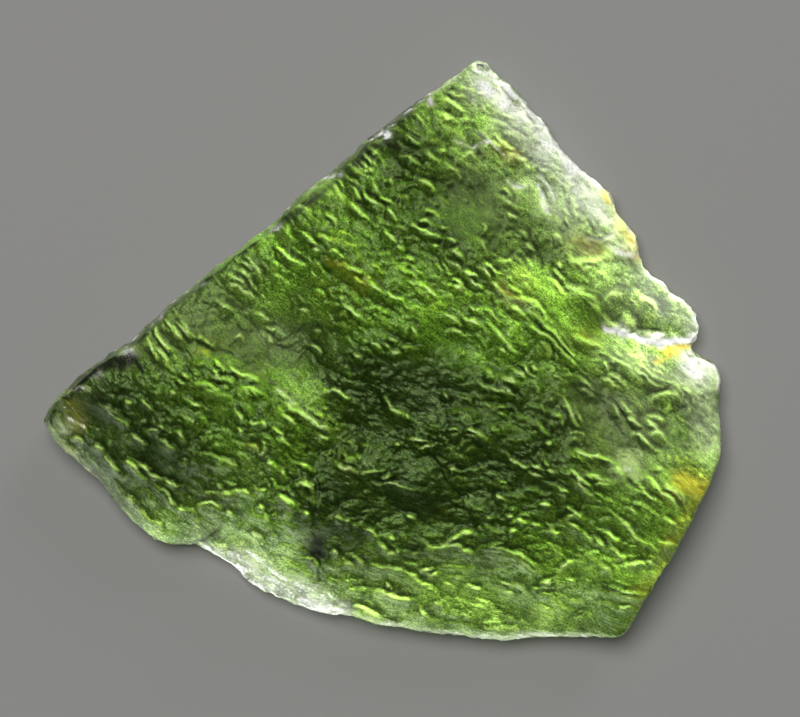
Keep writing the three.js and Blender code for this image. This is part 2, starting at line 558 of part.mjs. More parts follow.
// The points of one face: its edge loop, then the points along its crests, then an even field between them.
function strewPoints(loop, lines, step, seed) {
  const random = randomSource(seed);
  const points = [...loop];
  const cell = new Map();
  const key = (x, y) => `${Math.round(x / step)},${Math.round(y / step)}`;
  const note = ([x, y]) => {
    const name = key(x, y);
    cell.set(name, [...(cell.get(name) ?? []), [x, y]]);
  };
  const crowded = (x, y, room) => {
    for (let i = -1; i <= 1; i += 1) {
      for (let j = -1; j <= 1; j += 1) {
        const near = cell.get(key(x + i * step, y + j * step)) ?? [];
        if (near.some(([nx, ny]) => Math.hypot(nx - x, ny - y) < room)) {
          return true;
        }
      }
    }
    return false;
  };
  const add = (x, y, room) => {
    if (isInside(loop, x, y) && !crowded(x, y, room)) {
      points.push([x, y]);
      note([x, y]);
    }
  };
  loop.forEach(note);
  for (const line of [...lines, ...lines.map((crest) => shifted(crest, FOOT))]) {
    for (const [x, y] of along(line, CREST_STEP)) {
      add(x, y, step * CREST_ROOM);
    }
  }
  const c = Math.cos(radians(FIELD_TURN));
  const s = Math.sin(radians(FIELD_TURN));
  const rowStep = step * Math.sqrt(0.75);
  for (let row = 0, v = -FIELD_REACH; v < FIELD_REACH; row += 1, v += rowStep) {
    for (let u = -FIELD_REACH + (row % 2) * step * 0.5; u < FIELD_REACH; u += step) {
      const stray = () => mix(-JITTER, JITTER, random()) * step;
      add(u * c - v * s + stray(), u * s + v * c + stray(), step * FIELD_ROOM);
    }
  }
  return points;
}

// The triangles of one face inside its loop. Each edge of the loop has to be in exactly one of them.
function faceTriangles(points, loop) {
  const triangles = triangulate(points).filter((corners) => {
    const x = (points[corners[0]][0] + points[corners[1]][0] + points[corners[2]][0]) / 3;
    const y = (points[corners[0]][1] + points[corners[1]][1] + points[corners[2]][1]) / 3;
    return isInside(loop, x, y);
  });
  const edges = new Set(triangles.flatMap(([a, b, c]) => [`${a},${b}`, `${b},${c}`, `${c},${a}`]));
  loop.forEach((_, i) => {
    if (!edges.has(`${i},${(i + 1) % loop.length}`)) {
      throw new Error(`the outline is open at point ${i}: ${loop[i]}`);
    }
  });
  return triangles;
}

// How far inside the outline the wall lies, at a share of its height. Broken stretches are hackly.
function wallInset({ lean, tuck, rough }, share, random) {
  const hackle = random() * rough;
  if (share > BELLY) {
    return lean * ((share - BELLY) / (1 - BELLY)) ** 2 + hackle;
  }
  return tuck * ((BELLY - share) / BELLY) ** 2 + (share < BELLY ? hackle : 0);
}

// The stone: its upper face, its underside, and the rim between them, which is widest at the outline.
function makeMoldavite() {
  const rim = makeRim();
  const underside = makeUnderside(rim);
  const top = makeTop(rim, underside);
  const inset = (point, by) => [point.x + point.inward[0] * by, point.y + point.inward[1] * by];
  const topLoop = rim.map((point) => inset(point, point.lean));
  const underLoop = rim.map((point) => inset(point, point.tuck));
  const crests = [...RIDGES, ...GROOVES, ...LEDGES].map(({ line }) => line);
  const topPoints = strewPoints(topLoop, [...crests, CHIP_LINE], TOP_STEP, SEED + 3);
  const underPoints = strewPoints(underLoop, [], UNDER_STEP, SEED + 4);
  const count = rim.length;
  const random = randomSource(SEED + 5);
  const positions = [];
  const index = [];
  const edgeTop = rim.map((point, i) => {
    const [x, y] = topLoop[i];
    return Math.max(point.top - flaked(x, y), underside(x, y) + LEAST_THICKNESS);
  });
  topPoints.forEach(([x, y], i) => positions.push(x, y, i < count ? edgeTop[i] : top(x, y)));
  underPoints.forEach(([x, y], i) => positions.push(x, y, i < count ? rim[i].under : underside(x, y)));
  for (const corners of faceTriangles(topPoints, topLoop)) {
    index.push(...corners);
  }
  const underStart = topPoints.length;
  for (const [a, b, c] of faceTriangles(underPoints, underLoop)) {
    index.push(underStart + a, underStart + c, underStart + b);
  }
  let rowBelow = underStart;
  for (const share of [...WALL_ROWS, 1]) {
    const row = share === 1 ? 0 : positions.length / 3;
    for (let i = 0; i < count; i += 1) {
      if (share < 1) {
        const [x, y] = inset(rim[i], wallInset(rim[i], share, random));
        positions.push(x, y, mix(rim[i].under, edgeTop[i], share));
      }
      const j = (i + 1) % count;
      index.push(row + i, rowBelow + j, row + j);
      index.push(row + i, rowBelow + i, rowBelow + j);
    }
    rowBelow = row;
  }
  const geometry = new THREE.BufferGeometry();
  geometry.setAttribute("position", new THREE.Float32BufferAttribute(positions, 3));
  geometry.setIndex(index);
  geometry.computeVertexNormals();
  const glass = new THREE.MeshStandardMaterial({
    color: GLASS_GREEN,
    roughness: GLASS_ROUGHNESS,
    metalness: 0,
    transparent: true,
    opacity: GLASS_OPACITY,
  });
  const stone = new THREE.Mesh(geometry, glass);
  stone.name = "moldavite";
  return stone;
}

const group = new THREE.Group();
group.add(makeMoldavite());
export default group;
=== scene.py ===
"""A raw moldavite, lying on a grey floor and lit softly from above and through the glass from behind."""

import math
import random

import bpy
import numpy as np
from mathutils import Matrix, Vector


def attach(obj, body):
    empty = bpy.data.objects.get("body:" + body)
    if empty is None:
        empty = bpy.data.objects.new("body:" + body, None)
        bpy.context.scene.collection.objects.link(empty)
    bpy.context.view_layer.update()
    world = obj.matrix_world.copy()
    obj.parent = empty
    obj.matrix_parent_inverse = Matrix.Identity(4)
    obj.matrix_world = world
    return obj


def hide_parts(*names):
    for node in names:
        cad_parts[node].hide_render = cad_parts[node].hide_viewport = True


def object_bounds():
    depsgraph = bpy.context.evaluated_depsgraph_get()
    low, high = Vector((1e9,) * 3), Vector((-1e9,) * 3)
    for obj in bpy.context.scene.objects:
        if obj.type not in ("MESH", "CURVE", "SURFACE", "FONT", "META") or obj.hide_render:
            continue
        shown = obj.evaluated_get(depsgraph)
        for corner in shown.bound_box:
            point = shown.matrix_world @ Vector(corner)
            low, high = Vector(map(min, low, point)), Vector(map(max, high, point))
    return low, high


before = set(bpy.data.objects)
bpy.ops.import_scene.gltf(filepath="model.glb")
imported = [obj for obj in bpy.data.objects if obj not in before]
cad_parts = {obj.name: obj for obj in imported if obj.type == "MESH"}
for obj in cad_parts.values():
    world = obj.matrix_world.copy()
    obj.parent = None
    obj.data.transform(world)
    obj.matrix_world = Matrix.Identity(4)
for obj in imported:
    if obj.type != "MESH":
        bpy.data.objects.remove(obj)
CAD_LOW, CAD_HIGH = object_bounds()

MM = 0.001

# The photograph and the camera
PIXEL = 0.053 * MM  # a pixel of the photograph, on the stone
PHOTO_SIZE = (800, 717)
STONE_MIDDLE_PIXEL = (383.05, 350.2)  # where the photograph shows the middle of the outline
LENS = 150.0  # millimetres
SENSOR = 36.0  # millimetres
NEAREST = 0.005  # metres from the camera, for what it sees
FARTHEST = 20
RIM_HEIGHT = 1.6 * MM  # height at which the outline is widest

# Crisp crests of the upper face, as lines in pixels of the photograph, each from left to right, with its
# steep side above. First the sharp thin ones, then those that are the upper borders of broad lumps.
THIN_CRESTS = (
    ((181, 320), (191, 330), (199, 339)), ((186, 318), (195, 329), (203, 337)), ((203, 334), (210, 339)),
    ((158, 322), (163, 332), (168, 345)), ((159, 341), (168, 352), (180, 368)),
    ((186, 370), (192, 373), (197, 377)), ((181, 379), (187, 382), (191, 383)),
    ((213, 367), (219, 371), (222, 376), (232, 378), (240, 382)), ((212, 344), (217, 345), (220, 349)),
    ((218, 360), (225, 366), (229, 373)), ((216, 372), (222, 380)), ((240, 424), (246, 428), (249, 433)),
    ((249, 416), (257, 420), (265, 419)), ((250, 441), (257, 444), (262, 448)),
    ((160, 424), (165, 427), (170, 430)), ((159, 437), (168, 440), (176, 446), (182, 449)),
    ((136, 434), (145, 437), (151, 443)), ((100, 404), (112, 408), (120, 415), (128, 421), (135, 425)),
    ((73, 436), (82, 438), (88, 445)), ((62, 443), (71, 446), (79, 454)),
    ((97, 445), (104, 446), (110, 453)), ((140, 460), (148, 465), (155, 471)),
    ((120, 482), (126, 490), (133, 495)), ((181, 505), (187, 510)), ((276, 389), (285, 395), (295, 400)),
    ((285, 400), (295, 405), (303, 412)), ((295, 404), (305, 412), (314, 420)),
    ((303, 408), (312, 416), (321, 424), (327, 431)), ((318, 432), (326, 437), (333, 436)),
    ((280, 248), (287, 254), (292, 260), (300, 265), (309, 268)),
    ((233, 282), (240, 288), (247, 294), (254, 298)), ((247, 291), (253, 295), (259, 301)),
    ((241, 262), (250, 268), (258, 276)), ((250, 275), (257, 277)),
    ((346, 163), (352, 168), (358, 172), (366, 179)), ((352, 161), (361, 169), (369, 176)),
    ((360, 150), (366, 157), (372, 163), (378, 170)), ((372, 184), (377, 190), (381, 197)),
    ((380, 199), (386, 203), (392, 206), (395, 212)),
    ((408, 222), (416, 227), (423, 233), (432, 238), (442, 241)), ((415, 221), (423, 222), (430, 227)),
    ((395, 247), (400, 248), (405, 253)), ((399, 241), (404, 247)), ((404, 259), (410, 259), (415, 265)),
    ((431, 246), (438, 249)), ((450, 279), (455, 281), (461, 287), (466, 293)),
    ((449, 285), (456, 288), (463, 295)), ((365, 285), (372, 287), (380, 291), (385, 297)),
    ((386, 295), (394, 299), (402, 303)), ((346, 265), (352, 269), (358, 273), (363, 279)),
    ((352, 278), (359, 283), (366, 287)), ((371, 341), (376, 343), (381, 348)),
    ((383, 341), (388, 344), (392, 348)), ((386, 336), (394, 338), (401, 342)),
    ((401, 344), (409, 346), (417, 350)), ((353, 353), (359, 356), (364, 361)),
    ((308, 345), (315, 347), (323, 353)), ((440, 314), (448, 318), (456, 323), (463, 331)),
    ((459, 320), (467, 321), (474, 323), (481, 329)), ((466, 309), (471, 309), (479, 313)),
    ((262, 311), (267, 316), (273, 322)), ((318, 235), (326, 239), (334, 243)), ((443, 152), (448, 156)),
    ((482, 264), (490, 270), (496, 277)), ((487, 283), (495, 288), (503, 297)),
    ((500, 282), (507, 278), (512, 284)), ((486, 325), (495, 331), (500, 338), (507, 346), (518, 352)),
    ((572, 337), (583, 341), (593, 342), (601, 346)),
    ((503, 295), (520, 299), (533, 305), (543, 317), (554, 329), (566, 342), (577, 357)),
    ((527, 311), (540, 321), (552, 334), (566, 349), (578, 364)), ((505, 301), (515, 311), (522, 316)),
    ((520, 321), (535, 331), (550, 341), (563, 354), (575, 366)),
    ((388, 395), (391, 402), (396, 408), (404, 410)), ((404, 410), (411, 415)),
    ((441, 392), (445, 395), (447, 400)), ((483, 380), (493, 386), (503, 391), (513, 397)),
    ((337, 460), (345, 464), (352, 466), (360, 471)), ((361, 469), (368, 467), (378, 465), (388, 466)),
    ((345, 458), (352, 456), (359, 453)), ((381, 475), (386, 473), (393, 471)),
    ((371, 479), (380, 482), (391, 480), (401, 483), (410, 486), (422, 487)),
    ((384, 548), (391, 548), (399, 552)), ((343, 557), (352, 560), (360, 564)),
    ((420, 546), (432, 546), (445, 544), (455, 542), (463, 544), (476, 549)),
    ((366, 524), (373, 529), (378, 536)), ((384, 582), (392, 587)),
    ((405, 437), (413, 436), (423, 438), (433, 440)), ((493, 572), (503, 578), (515, 583), (525, 590)),
    ((484, 516), (491, 513)), ((502, 514), (511, 512)), ((513, 460), (521, 463), (529, 468)),
    ((524, 470), (533, 473), (542, 476)), ((541, 466), (548, 469), (556, 471)),
    ((500, 346), (508, 349), (517, 353)), ((520, 367), (528, 373)), ((528, 363), (538, 368)),
    ((508, 370), (516, 373), (525, 379)), ((500, 385), (508, 390), (513, 395)),
    ((562, 396), (567, 407), (572, 419), (579, 429)), ((570, 400), (575, 412), (581, 425)),
    ((550, 481), (558, 487), (564, 490)), ((590, 478), (600, 479), (613, 479)),
    ((622, 505), (630, 508), (636, 512)),
    ((603, 505), (611, 512), (620, 520), (630, 530), (640, 538), (656, 549)),
    ((637, 486), (645, 493), (654, 499)), ((616, 400), (622, 405), (630, 412), (639, 419)),
    ((643, 412), (652, 416), (663, 420)), ((652, 462), (659, 469)),
    ((600, 350), (612, 358), (625, 367), (640, 374), (655, 383), (669, 389)),
    ((612, 345), (628, 360), (645, 370), (660, 378), (690, 389)), ((625, 349), (640, 362), (651, 373)),
    ((605, 588), (618, 591), (630, 595), (646, 598)), ((608, 583), (625, 587), (648, 592)),
    ((616, 604), (630, 606)), ((553, 262), (561, 268)), ((523, 244), (533, 252)), ((505, 215), (515, 221)),
    ((518, 232), (528, 240)), ((600, 313), (610, 321), (622, 330)),
    ((640, 470), (652, 480), (664, 494), (676, 508)), ((658, 478), (670, 490), (684, 506)),
    ((560, 520), (570, 524), (578, 530)), ((640, 560), (648, 562)), ((540, 440), (550, 441)),
    ((625, 430), (638, 436), (650, 447)), ((300, 460), (308, 463), (316, 469)),
    ((444, 92), (452, 95), (459, 101)), ((446, 102), (458, 109), (466, 118)),
    ((440, 113), (450, 121), (458, 127)), ((396, 117), (402, 119), (407, 124)),
    ((388, 129), (394, 130), (400, 136)), ((402, 136), (412, 143), (422, 150)),
    ((422, 154), (432, 158), (440, 166)), ((446, 168), (456, 175), (464, 183)),
    ((366, 148), (374, 153), (381, 159)), ((358, 159), (366, 167), (376, 176)),
    ((340, 170), (352, 181), (362, 192)), ((364, 194), (374, 203), (384, 214)),
    ((346, 182), (356, 193), (366, 204)), ((352, 206), (362, 214), (372, 226)),
    ((386, 214), (392, 218), (398, 225)), ((384, 232), (391, 239), (397, 247)), ((436, 228), (445, 231)),
    ((420, 213), (430, 213), (439, 220)), ((480, 225), (487, 227)), ((500, 190), (508, 195), (512, 204)),
    ((496, 197), (505, 204), (517, 208)), ((494, 137), (506, 145), (517, 153)), ((489, 141), (502, 150)),
    ((508, 157), (521, 161), (533, 171)), ((330, 184), (338, 192), (346, 204)),
    ((324, 214), (334, 220), (342, 230)), ((304, 231), (315, 243), (325, 252)),
    ((238, 271), (250, 279), (262, 294)), ((231, 274), (243, 284), (252, 293)),
    ((254, 262), (262, 270), (268, 283)), ((244, 256), (254, 264), (262, 276)), ((270, 327), (278, 330)),
    ((270, 335), (276, 343)), ((222, 301), (229, 307)), ((316, 327), (323, 332)), ((180, 329), (190, 341)),
    ((210, 338), (217, 345)), ((235, 340), (242, 337), (250, 346)), ((152, 337), (160, 349), (169, 361)),
    ((161, 331), (171, 344), (181, 356)), ((170, 318), (178, 327), (186, 341)),
    ((230, 364), (240, 371), (252, 376)), ((283, 409), (294, 419), (301, 427)),
    ((262, 417), (268, 421), (269, 429)), ((322, 394), (331, 390), (345, 394), (356, 397)),
    ((236, 407), (243, 413), (249, 422)), ((324, 421), (332, 430)),
    ((100, 405), (113, 406), (123, 412), (134, 424)), ((80, 454), (87, 463), (95, 472)),
    ((86, 447), (95, 457), (99, 468)), ((108, 455), (116, 463), (123, 472)),
    ((124, 461), (134, 461), (141, 469), (151, 478)), ((150, 469), (159, 473), (167, 481)),
    ((162, 487), (171, 491), (175, 500), (181, 508)), ((166, 477), (175, 480), (185, 484)),
    ((124, 495), (131, 499), (137, 504)), ((134, 431), (143, 435), (153, 446)),
    ((146, 427), (158, 429), (167, 435)), ((190, 397), (200, 401), (207, 408)), ((174, 391), (182, 396)),
    ((176, 431), (184, 430), (189, 438), (192, 447)), ((132, 397), (141, 402)),
    ((146, 396), (154, 402), (160, 412)), ((186, 414), (194, 416), (200, 424)),
    ((136, 508), (146, 514), (156, 524)), ((276, 436), (286, 438), (295, 444)),
    ((264, 439), (269, 446), (264, 452), (259, 448)), ((284, 469), (289, 475)), ((260, 490), (268, 488)),
    ((334, 517), (341, 514), (346, 519)), ((346, 519), (352, 518)), ((256, 510), (264, 505), (270, 511)),
    ((248, 529), (257, 531), (265, 538)), ((252, 525), (263, 532), (271, 541)),
    ((243, 530), (253, 536), (263, 546)), ((258, 547), (269, 556), (278, 566)),
    ((355, 552), (362, 559), (366, 564)), ((346, 450), (353, 455)), ((356, 451), (365, 454)),
    ((394, 440), (401, 441)), ((413, 443), (424, 443), (435, 441)), ((390, 532), (397, 535)),
    ((380, 540), (386, 544), (389, 548)), ((395, 546), (403, 547)), ((420, 570), (431, 566)),
    ((424, 573), (435, 571)), ((448, 433), (458, 432)), ((462, 433), (473, 435)),
    ((500, 449), (512, 458), (521, 464)), ((540, 461), (549, 462)), ((524, 461), (534, 465), (541, 468)),
    ((584, 450), (597, 453), (615, 461)), ((612, 463), (617, 470), (624, 482)),
    ((575, 471), (590, 473), (601, 475), (613, 477)), ((562, 474), (574, 482), (585, 491), (595, 496)),
    ((510, 518), (517, 518), (524, 522)), ((504, 527), (513, 526)), ((526, 520), (537, 519)),
    ((537, 529), (550, 529), (559, 532)), ((565, 504), (572, 510), (580, 516)),
    ((590, 534), (596, 539), (603, 548)), ((577, 527), (585, 535), (591, 544)),
    ((596, 561), (604, 565), (608, 571)), ((620, 559), (632, 560), (641, 564)),
    ((552, 571), (560, 562), (569, 555)), ((512, 555), (521, 559), (529, 566), (548, 575)),
    ((441, 541), (452, 536), (461, 533)), ((458, 544), (467, 546), (473, 551)),
    ((484, 547), (495, 547), (505, 551)), ((505, 575), (517, 581), (527, 589), (533, 596)),
    ((498, 583), (508, 589), (517, 598)), ((464, 581), (474, 585), (481, 588)), ((452, 574), (461, 575)),
    ((540, 577), (549, 580)), ((604, 540), (613, 547), (623, 556)), ((446, 261), (455, 266), (462, 275)),
    ((462, 275), (471, 282), (483, 292)), ((479, 269), (486, 275), (489, 284)),
    ((498, 263), (506, 262), (513, 266)), ((519, 286), (524, 283), (528, 290)),
    ((480, 310), (490, 316), (495, 322)), ((448, 331), (458, 333), (467, 337)), ((498, 349), (506, 356)),
    ((458, 350), (463, 352)), ((390, 351), (402, 351)), ((476, 377), (484, 383), (493, 390)),
    ((422, 289), (431, 291), (437, 295)), ((545, 267), (552, 270), (558, 276), (564, 283)),
    ((578, 295), (588, 303), (598, 311), (608, 319)), ((546, 277), (556, 285), (566, 295)),
    ((576, 264), (584, 266), (591, 269)), ((604, 351), (616, 361), (630, 373), (646, 385)),
    ((612, 349), (622, 358), (632, 367), (646, 378)), ((632, 345), (640, 355), (648, 365), (657, 374)),
    ((600, 360), (604, 365), (606, 373)), ((598, 378), (607, 382), (615, 389)),
    ((604, 371), (614, 379), (623, 386)), ((576, 376), (584, 383), (592, 391)), ((681, 389), (691, 389)),
    ((577, 385), (585, 391), (593, 397)), ((610, 403), (615, 409), (619, 416)),
    ((624, 415), (632, 418), (642, 428)), ((644, 415), (650, 423), (657, 432)),
    ((666, 480), (675, 490), (685, 503)), ((655, 486), (664, 496), (675, 508)),
    ((658, 515), (666, 519), (673, 523)), ((660, 542), (669, 543)), ((622, 311), (633, 320), (639, 330)),
    ((640, 296), (650, 303), (656, 313)), ((608, 320), (618, 326), (630, 330)),
    ((640, 330), (652, 336), (664, 336)),
)

LUMP_CRESTS = (
    ((241, 391), (248, 388), (256, 387), (263, 389), (268, 393)),
    ((271, 431), (277, 429), (284, 433), (291, 441)),
    ((198, 380), (206, 382), (214, 384), (219, 388), (226, 394), (233, 396), (239, 401)),
    ((241, 372), (250, 373), (258, 376), (263, 382)), ((265, 460), (272, 459), (280, 463)),
    ((202, 450), (212, 451), (219, 456), (228, 459), (235, 461), (239, 463), (242, 471)),
    ((203, 490), (212, 489), (225, 490), (240, 490), (248, 492), (256, 499)),
    ((219, 482), (224, 484), (232, 490)), ((275, 497), (283, 494), (292, 497), (299, 503)),
    ((303, 509), (309, 508), (313, 515)), ((226, 514), (232, 511), (239, 518)),
    ((382, 184), (388, 182), (395, 188)), ((418, 184), (424, 183), (430, 187), (436, 194)),
    ((446, 256), (452, 253), (459, 256), (465, 263)), ((461, 270), (466, 272), (472, 276), (477, 282)),
    ((421, 283), (428, 288), (433, 293), (438, 300)), ((310, 253), (317, 251), (323, 255)),
    ((330, 253), (336, 252), (341, 257)), ((340, 302), (347, 307), (355, 311), (360, 316), (368, 322)),
    ((298, 312), (305, 312), (312, 316)), ((549, 235), (557, 238), (561, 247)), ((480, 228), (487, 232)),
    ((604, 300), (610, 294), (620, 292), (631, 298)),
    ((560, 283), (570, 288), (580, 292), (592, 300), (601, 311)), ((445, 429), (452, 426), (459, 428)),
    ((459, 428), (468, 427), (477, 431), (487, 437)), ((446, 470), (451, 467), (456, 468), (463, 471)),
    ((491, 496), (496, 494), (502, 498)), ((403, 515), (408, 513), (415, 519)),
    ((370, 560), (380, 562), (390, 563), (400, 567), (410, 572), (420, 578), (428, 584)),
    ((421, 539), (429, 542), (436, 544), (446, 541), (452, 537)),
    ((452, 537), (460, 530), (468, 527), (475, 529)),
    ((480, 545), (488, 542), (500, 545), (512, 548), (520, 552), (528, 558), (537, 565), (552, 573)),
    ((370, 592), (385, 593), (400, 595), (413, 597)), ((350, 604), (362, 607), (373, 611), (384, 617)),
    ((420, 603), (424, 610), (431, 617)), ((569, 446), (577, 448), (584, 452), (598, 455)),
    ((560, 466), (568, 469), (576, 476), (583, 482), (590, 489)), ((600, 528), (608, 533), (617, 536)),
    ((565, 253), (572, 258), (585, 259), (601, 259)), ((645, 399), (655, 394), (668, 393), (680, 398)),
    ((505, 152), (520, 160)), ((440, 97), (452, 103), (462, 111)), ((395, 160), (408, 162), (420, 170)),
    ((222, 309), (231, 306), (240, 316)), ((292, 484), (304, 479), (313, 485), (317, 493)),
    ((558, 520), (566, 512), (574, 516)), ((534, 502), (542, 500), (548, 503)),
    ((473, 240), (480, 243), (485, 252), (489, 262)), ((480, 371), (488, 372), (495, 378)),
    ((496, 375), (508, 379), (517, 384)), ((410, 326), (416, 329), (421, 337)),
    ((286, 214), (296, 206), (308, 210), (315, 220)), ((443, 241), (450, 243), (455, 250)),
    ((60, 446), (78, 462), (98, 480), (112, 498)), ((112, 498), (124, 511), (136, 524)),
    ((644, 434), (654, 430), (664, 438)), ((330, 550), (337, 549), (341, 556)),
    ((462, 160), (471, 153), (478, 162)), ((196, 505), (212, 500), (228, 508)),
    ((560, 285), (572, 286), (586, 290)),
)

# Thin cracks and seams, also in pixels of the photograph.
SEAMS = (
    ((245, 308), (250, 318), (258, 330), (262, 338), (268, 350), (271, 362)),
    ((240, 328), (246, 335), (254, 336)),
    ((293, 365), (299, 358), (306, 350), (312, 354), (318, 362), (330, 370),
     (345, 376), (357, 380), (378, 366)), ((280, 341), (290, 338), (300, 331), (306, 322)),
    ((272, 362), (278, 368), (286, 362), (293, 365)),
    ((470, 124), (477, 132), (484, 142), (492, 146), (500, 152), (503, 161)), ((470, 190), (480, 215)),
    ((452, 140), (462, 145), (472, 148), (482, 148), (489, 145)), ((196, 543), (209, 535), (222, 527)),
    ((502, 165), (504, 180), (509, 187), (522, 189)), ((138, 357), (142, 366), (147, 373)),
    ((561, 225), (564, 236), (568, 246), (573, 251)), ((586, 240), (598, 242), (606, 238), (613, 235)),
    ((536, 186), (539, 193), (542, 205), (546, 213)), ((539, 178), (546, 184), (551, 193), (553, 201)),
    ((319, 552), (320, 566), (318, 580)), ((448, 152), (450, 164), (458, 172)),
    ((645, 400), (650, 411), (662, 416), (674, 413), (683, 405)),
    ((205, 345), (215, 352), (226, 352), (238, 358)),
    ((382, 143), (398, 154), (418, 166), (436, 184), (450, 193)),
    ((429, 104), (431, 118), (436, 135), (446, 146)), ((449, 152), (450, 163), (458, 171), (466, 184)),
    ((222, 279), (233, 294), (246, 307)), ((244, 342), (254, 352), (263, 366), (276, 386)),
    ((275, 325), (270, 334), (273, 342), (282, 346)), ((276, 346), (290, 349), (300, 343)),
    ((327, 293), (330, 306)), ((330, 272), (340, 282), (352, 288)), ((148, 367), (156, 376), (163, 381)),
    ((319, 474), (320, 495), (316, 512), (315, 532)), ((428, 449), (445, 477), (462, 500), (475, 521)),
    ((467, 86), (466, 98), (471, 110), (470, 123)), ((486, 118), (500, 122), (515, 131), (526, 137)),
    ((514, 158), (533, 162), (542, 167), (566, 175)),
    ((606, 399), (622, 417), (634, 440), (640, 460), (640, 473)),
    ((616, 467), (620, 477), (629, 485), (641, 492)),
    ((497, 232), (492, 244), (494, 255), (504, 261), (511, 254)),
    ((528, 232), (531, 246), (537, 257), (538, 269)), ((534, 345), (524, 356), (513, 367)),
    ((560, 372), (572, 368), (584, 378)), ((596, 402), (611, 424), (624, 448)),
    ((384, 183), (400, 181), (414, 184)), ((404, 196), (414, 192), (428, 198)),
    ((206, 366), (216, 374), (222, 384)), ((240, 385), (238, 398), (243, 410)),
    ((272, 392), (273, 408), (278, 424)), ((246, 500), (262, 512), (284, 508)),
    ((338, 446), (335, 456), (330, 462)), ((300, 466), (312, 474), (318, 482)),
)

# Marks on the glass: strength, half width and the line along which each lies, in pixels of the photograph.
# Bruises and crumbs, and painted light where the rims and some crests shine bright
FROST_AND_PAINTED_LIGHT_MARKS = (
    # crumbs and bruises along the snapped edge, and a fine painted highlight along it
    (1.5, 6, ((128, 347), (136, 350))), (1.5, 5, ((262, 227), (276, 231))),
    (1.5, 3, ((318, 180), (342, 178))), (1.5, 5, ((383, 128), (387, 138))),
    (1.5, 3, ((420, 99), (430, 97), (430, 105))), (1.3, 3, ((286, 203), (296, 201))),
    (1.6, 2.5, ((44, 412), (70, 385), (100, 362), (133, 340))),
    (1.7, 3, ((133, 340), (156, 322), (178, 298))),
    (1.6, 2.6, ((178, 298), (212, 270), (262, 226), (300, 198), (345, 162),
     (385, 130), (440, 88), (466, 66))), (0.7, 3, ((196, 286), (206, 284))),
    (0.6, 4, ((60, 420), (66, 430))), (0.8, 2, ((72, 416), (88, 426))),
    (0.7, 2, ((74, 392), (84, 388), (94, 391))), (0.6, 2, ((63, 398), (70, 408))),
    (0.6, 2, ((96, 378), (108, 374))),
    # the pale thin side, painted light where it shines bright
    (1.7, 2, ((492, 74), (512, 92), (526, 104), (540, 118), (556, 140), (566, 154), (592, 176))),
    (1.0, 6, ((478, 64), (490, 74), (510, 92), (540, 122), (565, 158), (592, 178), (606, 190))),
    (1.0, 9, ((484, 88), (505, 103), (524, 116))), (0.8, 9, ((530, 118), (552, 148), (575, 168))),
    (0.8, 4, ((606, 190), (622, 212), (636, 235), (640, 255), (652, 274))),
    (0.6, 8, ((584, 190), (604, 222))),
    (0.9, 4, ((652, 274), (664, 284), (674, 297), (688, 300), (697, 318), (698, 333))),
    (0.8, 3, ((608, 248), (620, 254), (638, 256))), (0.7, 2, ((586, 240), (600, 241), (613, 235))),
    (1.6, 4, ((606, 328), (624, 331), (644, 340), (668, 342), (694, 338))),
    (1.0, 10, ((692, 364), (697, 374))), (0.9, 3, ((700, 358), (712, 362), (719, 372), (720, 392))),
    (0.7, 2, ((720, 392), (721, 450))), (0.8, 2, ((536, 186), (541, 202), (546, 213))),
    (0.7, 2, ((539, 178), (551, 193), (553, 200))), (0.8, 2, ((455, 143), (472, 148), (489, 145))),
    (0.7, 1.5, ((477, 132), (492, 146), (503, 156))), (0.6, 2, ((504, 182), (512, 188), (524, 188))),
    (1.1, 2, ((471, 66), (478, 61), (486, 61), (492, 67), (488, 74), (478, 74), (471, 66))),
    # the chip and the bottom rim, partly painted light
    (1.0, 8, ((206, 550), (222, 560), (240, 572))), (0.55, 12, ((236, 560), (268, 584), (300, 600))),
    (1.0, 2, ((228, 552), (262, 576), (300, 592))), (1.0, 1.5, ((246, 552), (284, 578), (318, 594))),
    (1.0, 2, ((222, 560), (248, 582), (284, 600))), (0.9, 1.5, ((300, 582), (322, 588), (340, 602))),
    (0.9, 1.5, ((300, 590), (318, 594), (332, 606))), (1.0, 8, ((300, 602), (322, 610), (342, 614))),
    (0.9, 3, ((472, 639), (500, 640), (530, 639))),
    (0.6, 3, ((380, 622), (420, 631), (470, 636), (540, 634), (600, 636))),
    # flakes inside, and painted highlights along crests
    (0.55, 9, ((618, 466), (634, 472))), (0.6, 2, ((340, 461), (360, 470))),
    (0.6, 2, ((276, 389), (300, 404))), (0.5, 2, ((300, 404), (326, 430))),
)

# Haze of the etched skin, partly painted sheen
HAZE_AND_SHEEN_MARKS = (
    (0.4, 20, ((480, 85), (540, 150), (600, 215))), (0.3, 18, ((620, 240), (660, 300), (690, 320))),
    (0.16, 26, ((545, 190), (620, 290))), (0.05, 40, ((215, 320), (290, 340))),
    (0.05, 30, ((150, 335), (240, 280))), (0.16, 20, ((694, 370), (706, 450))),
    (0.05, 50, ((600, 400), (640, 460))), (0.05, 40, ((470, 150), (500, 250))),
    (0.16, 12, ((600, 350), (680, 380))), (0.18, 12, ((250, 565), (330, 603))),
    (0.08, 14, ((300, 205), (330, 190))), (0.2, 6, ((500, 294), (514, 303), (526, 310))),
    (0.08, 8, ((600, 408), (622, 436), (634, 462))), (0.1, 12, ((585, 385), (612, 405))),
    (0.12, 16, ((206, 548), (236, 562))),
)

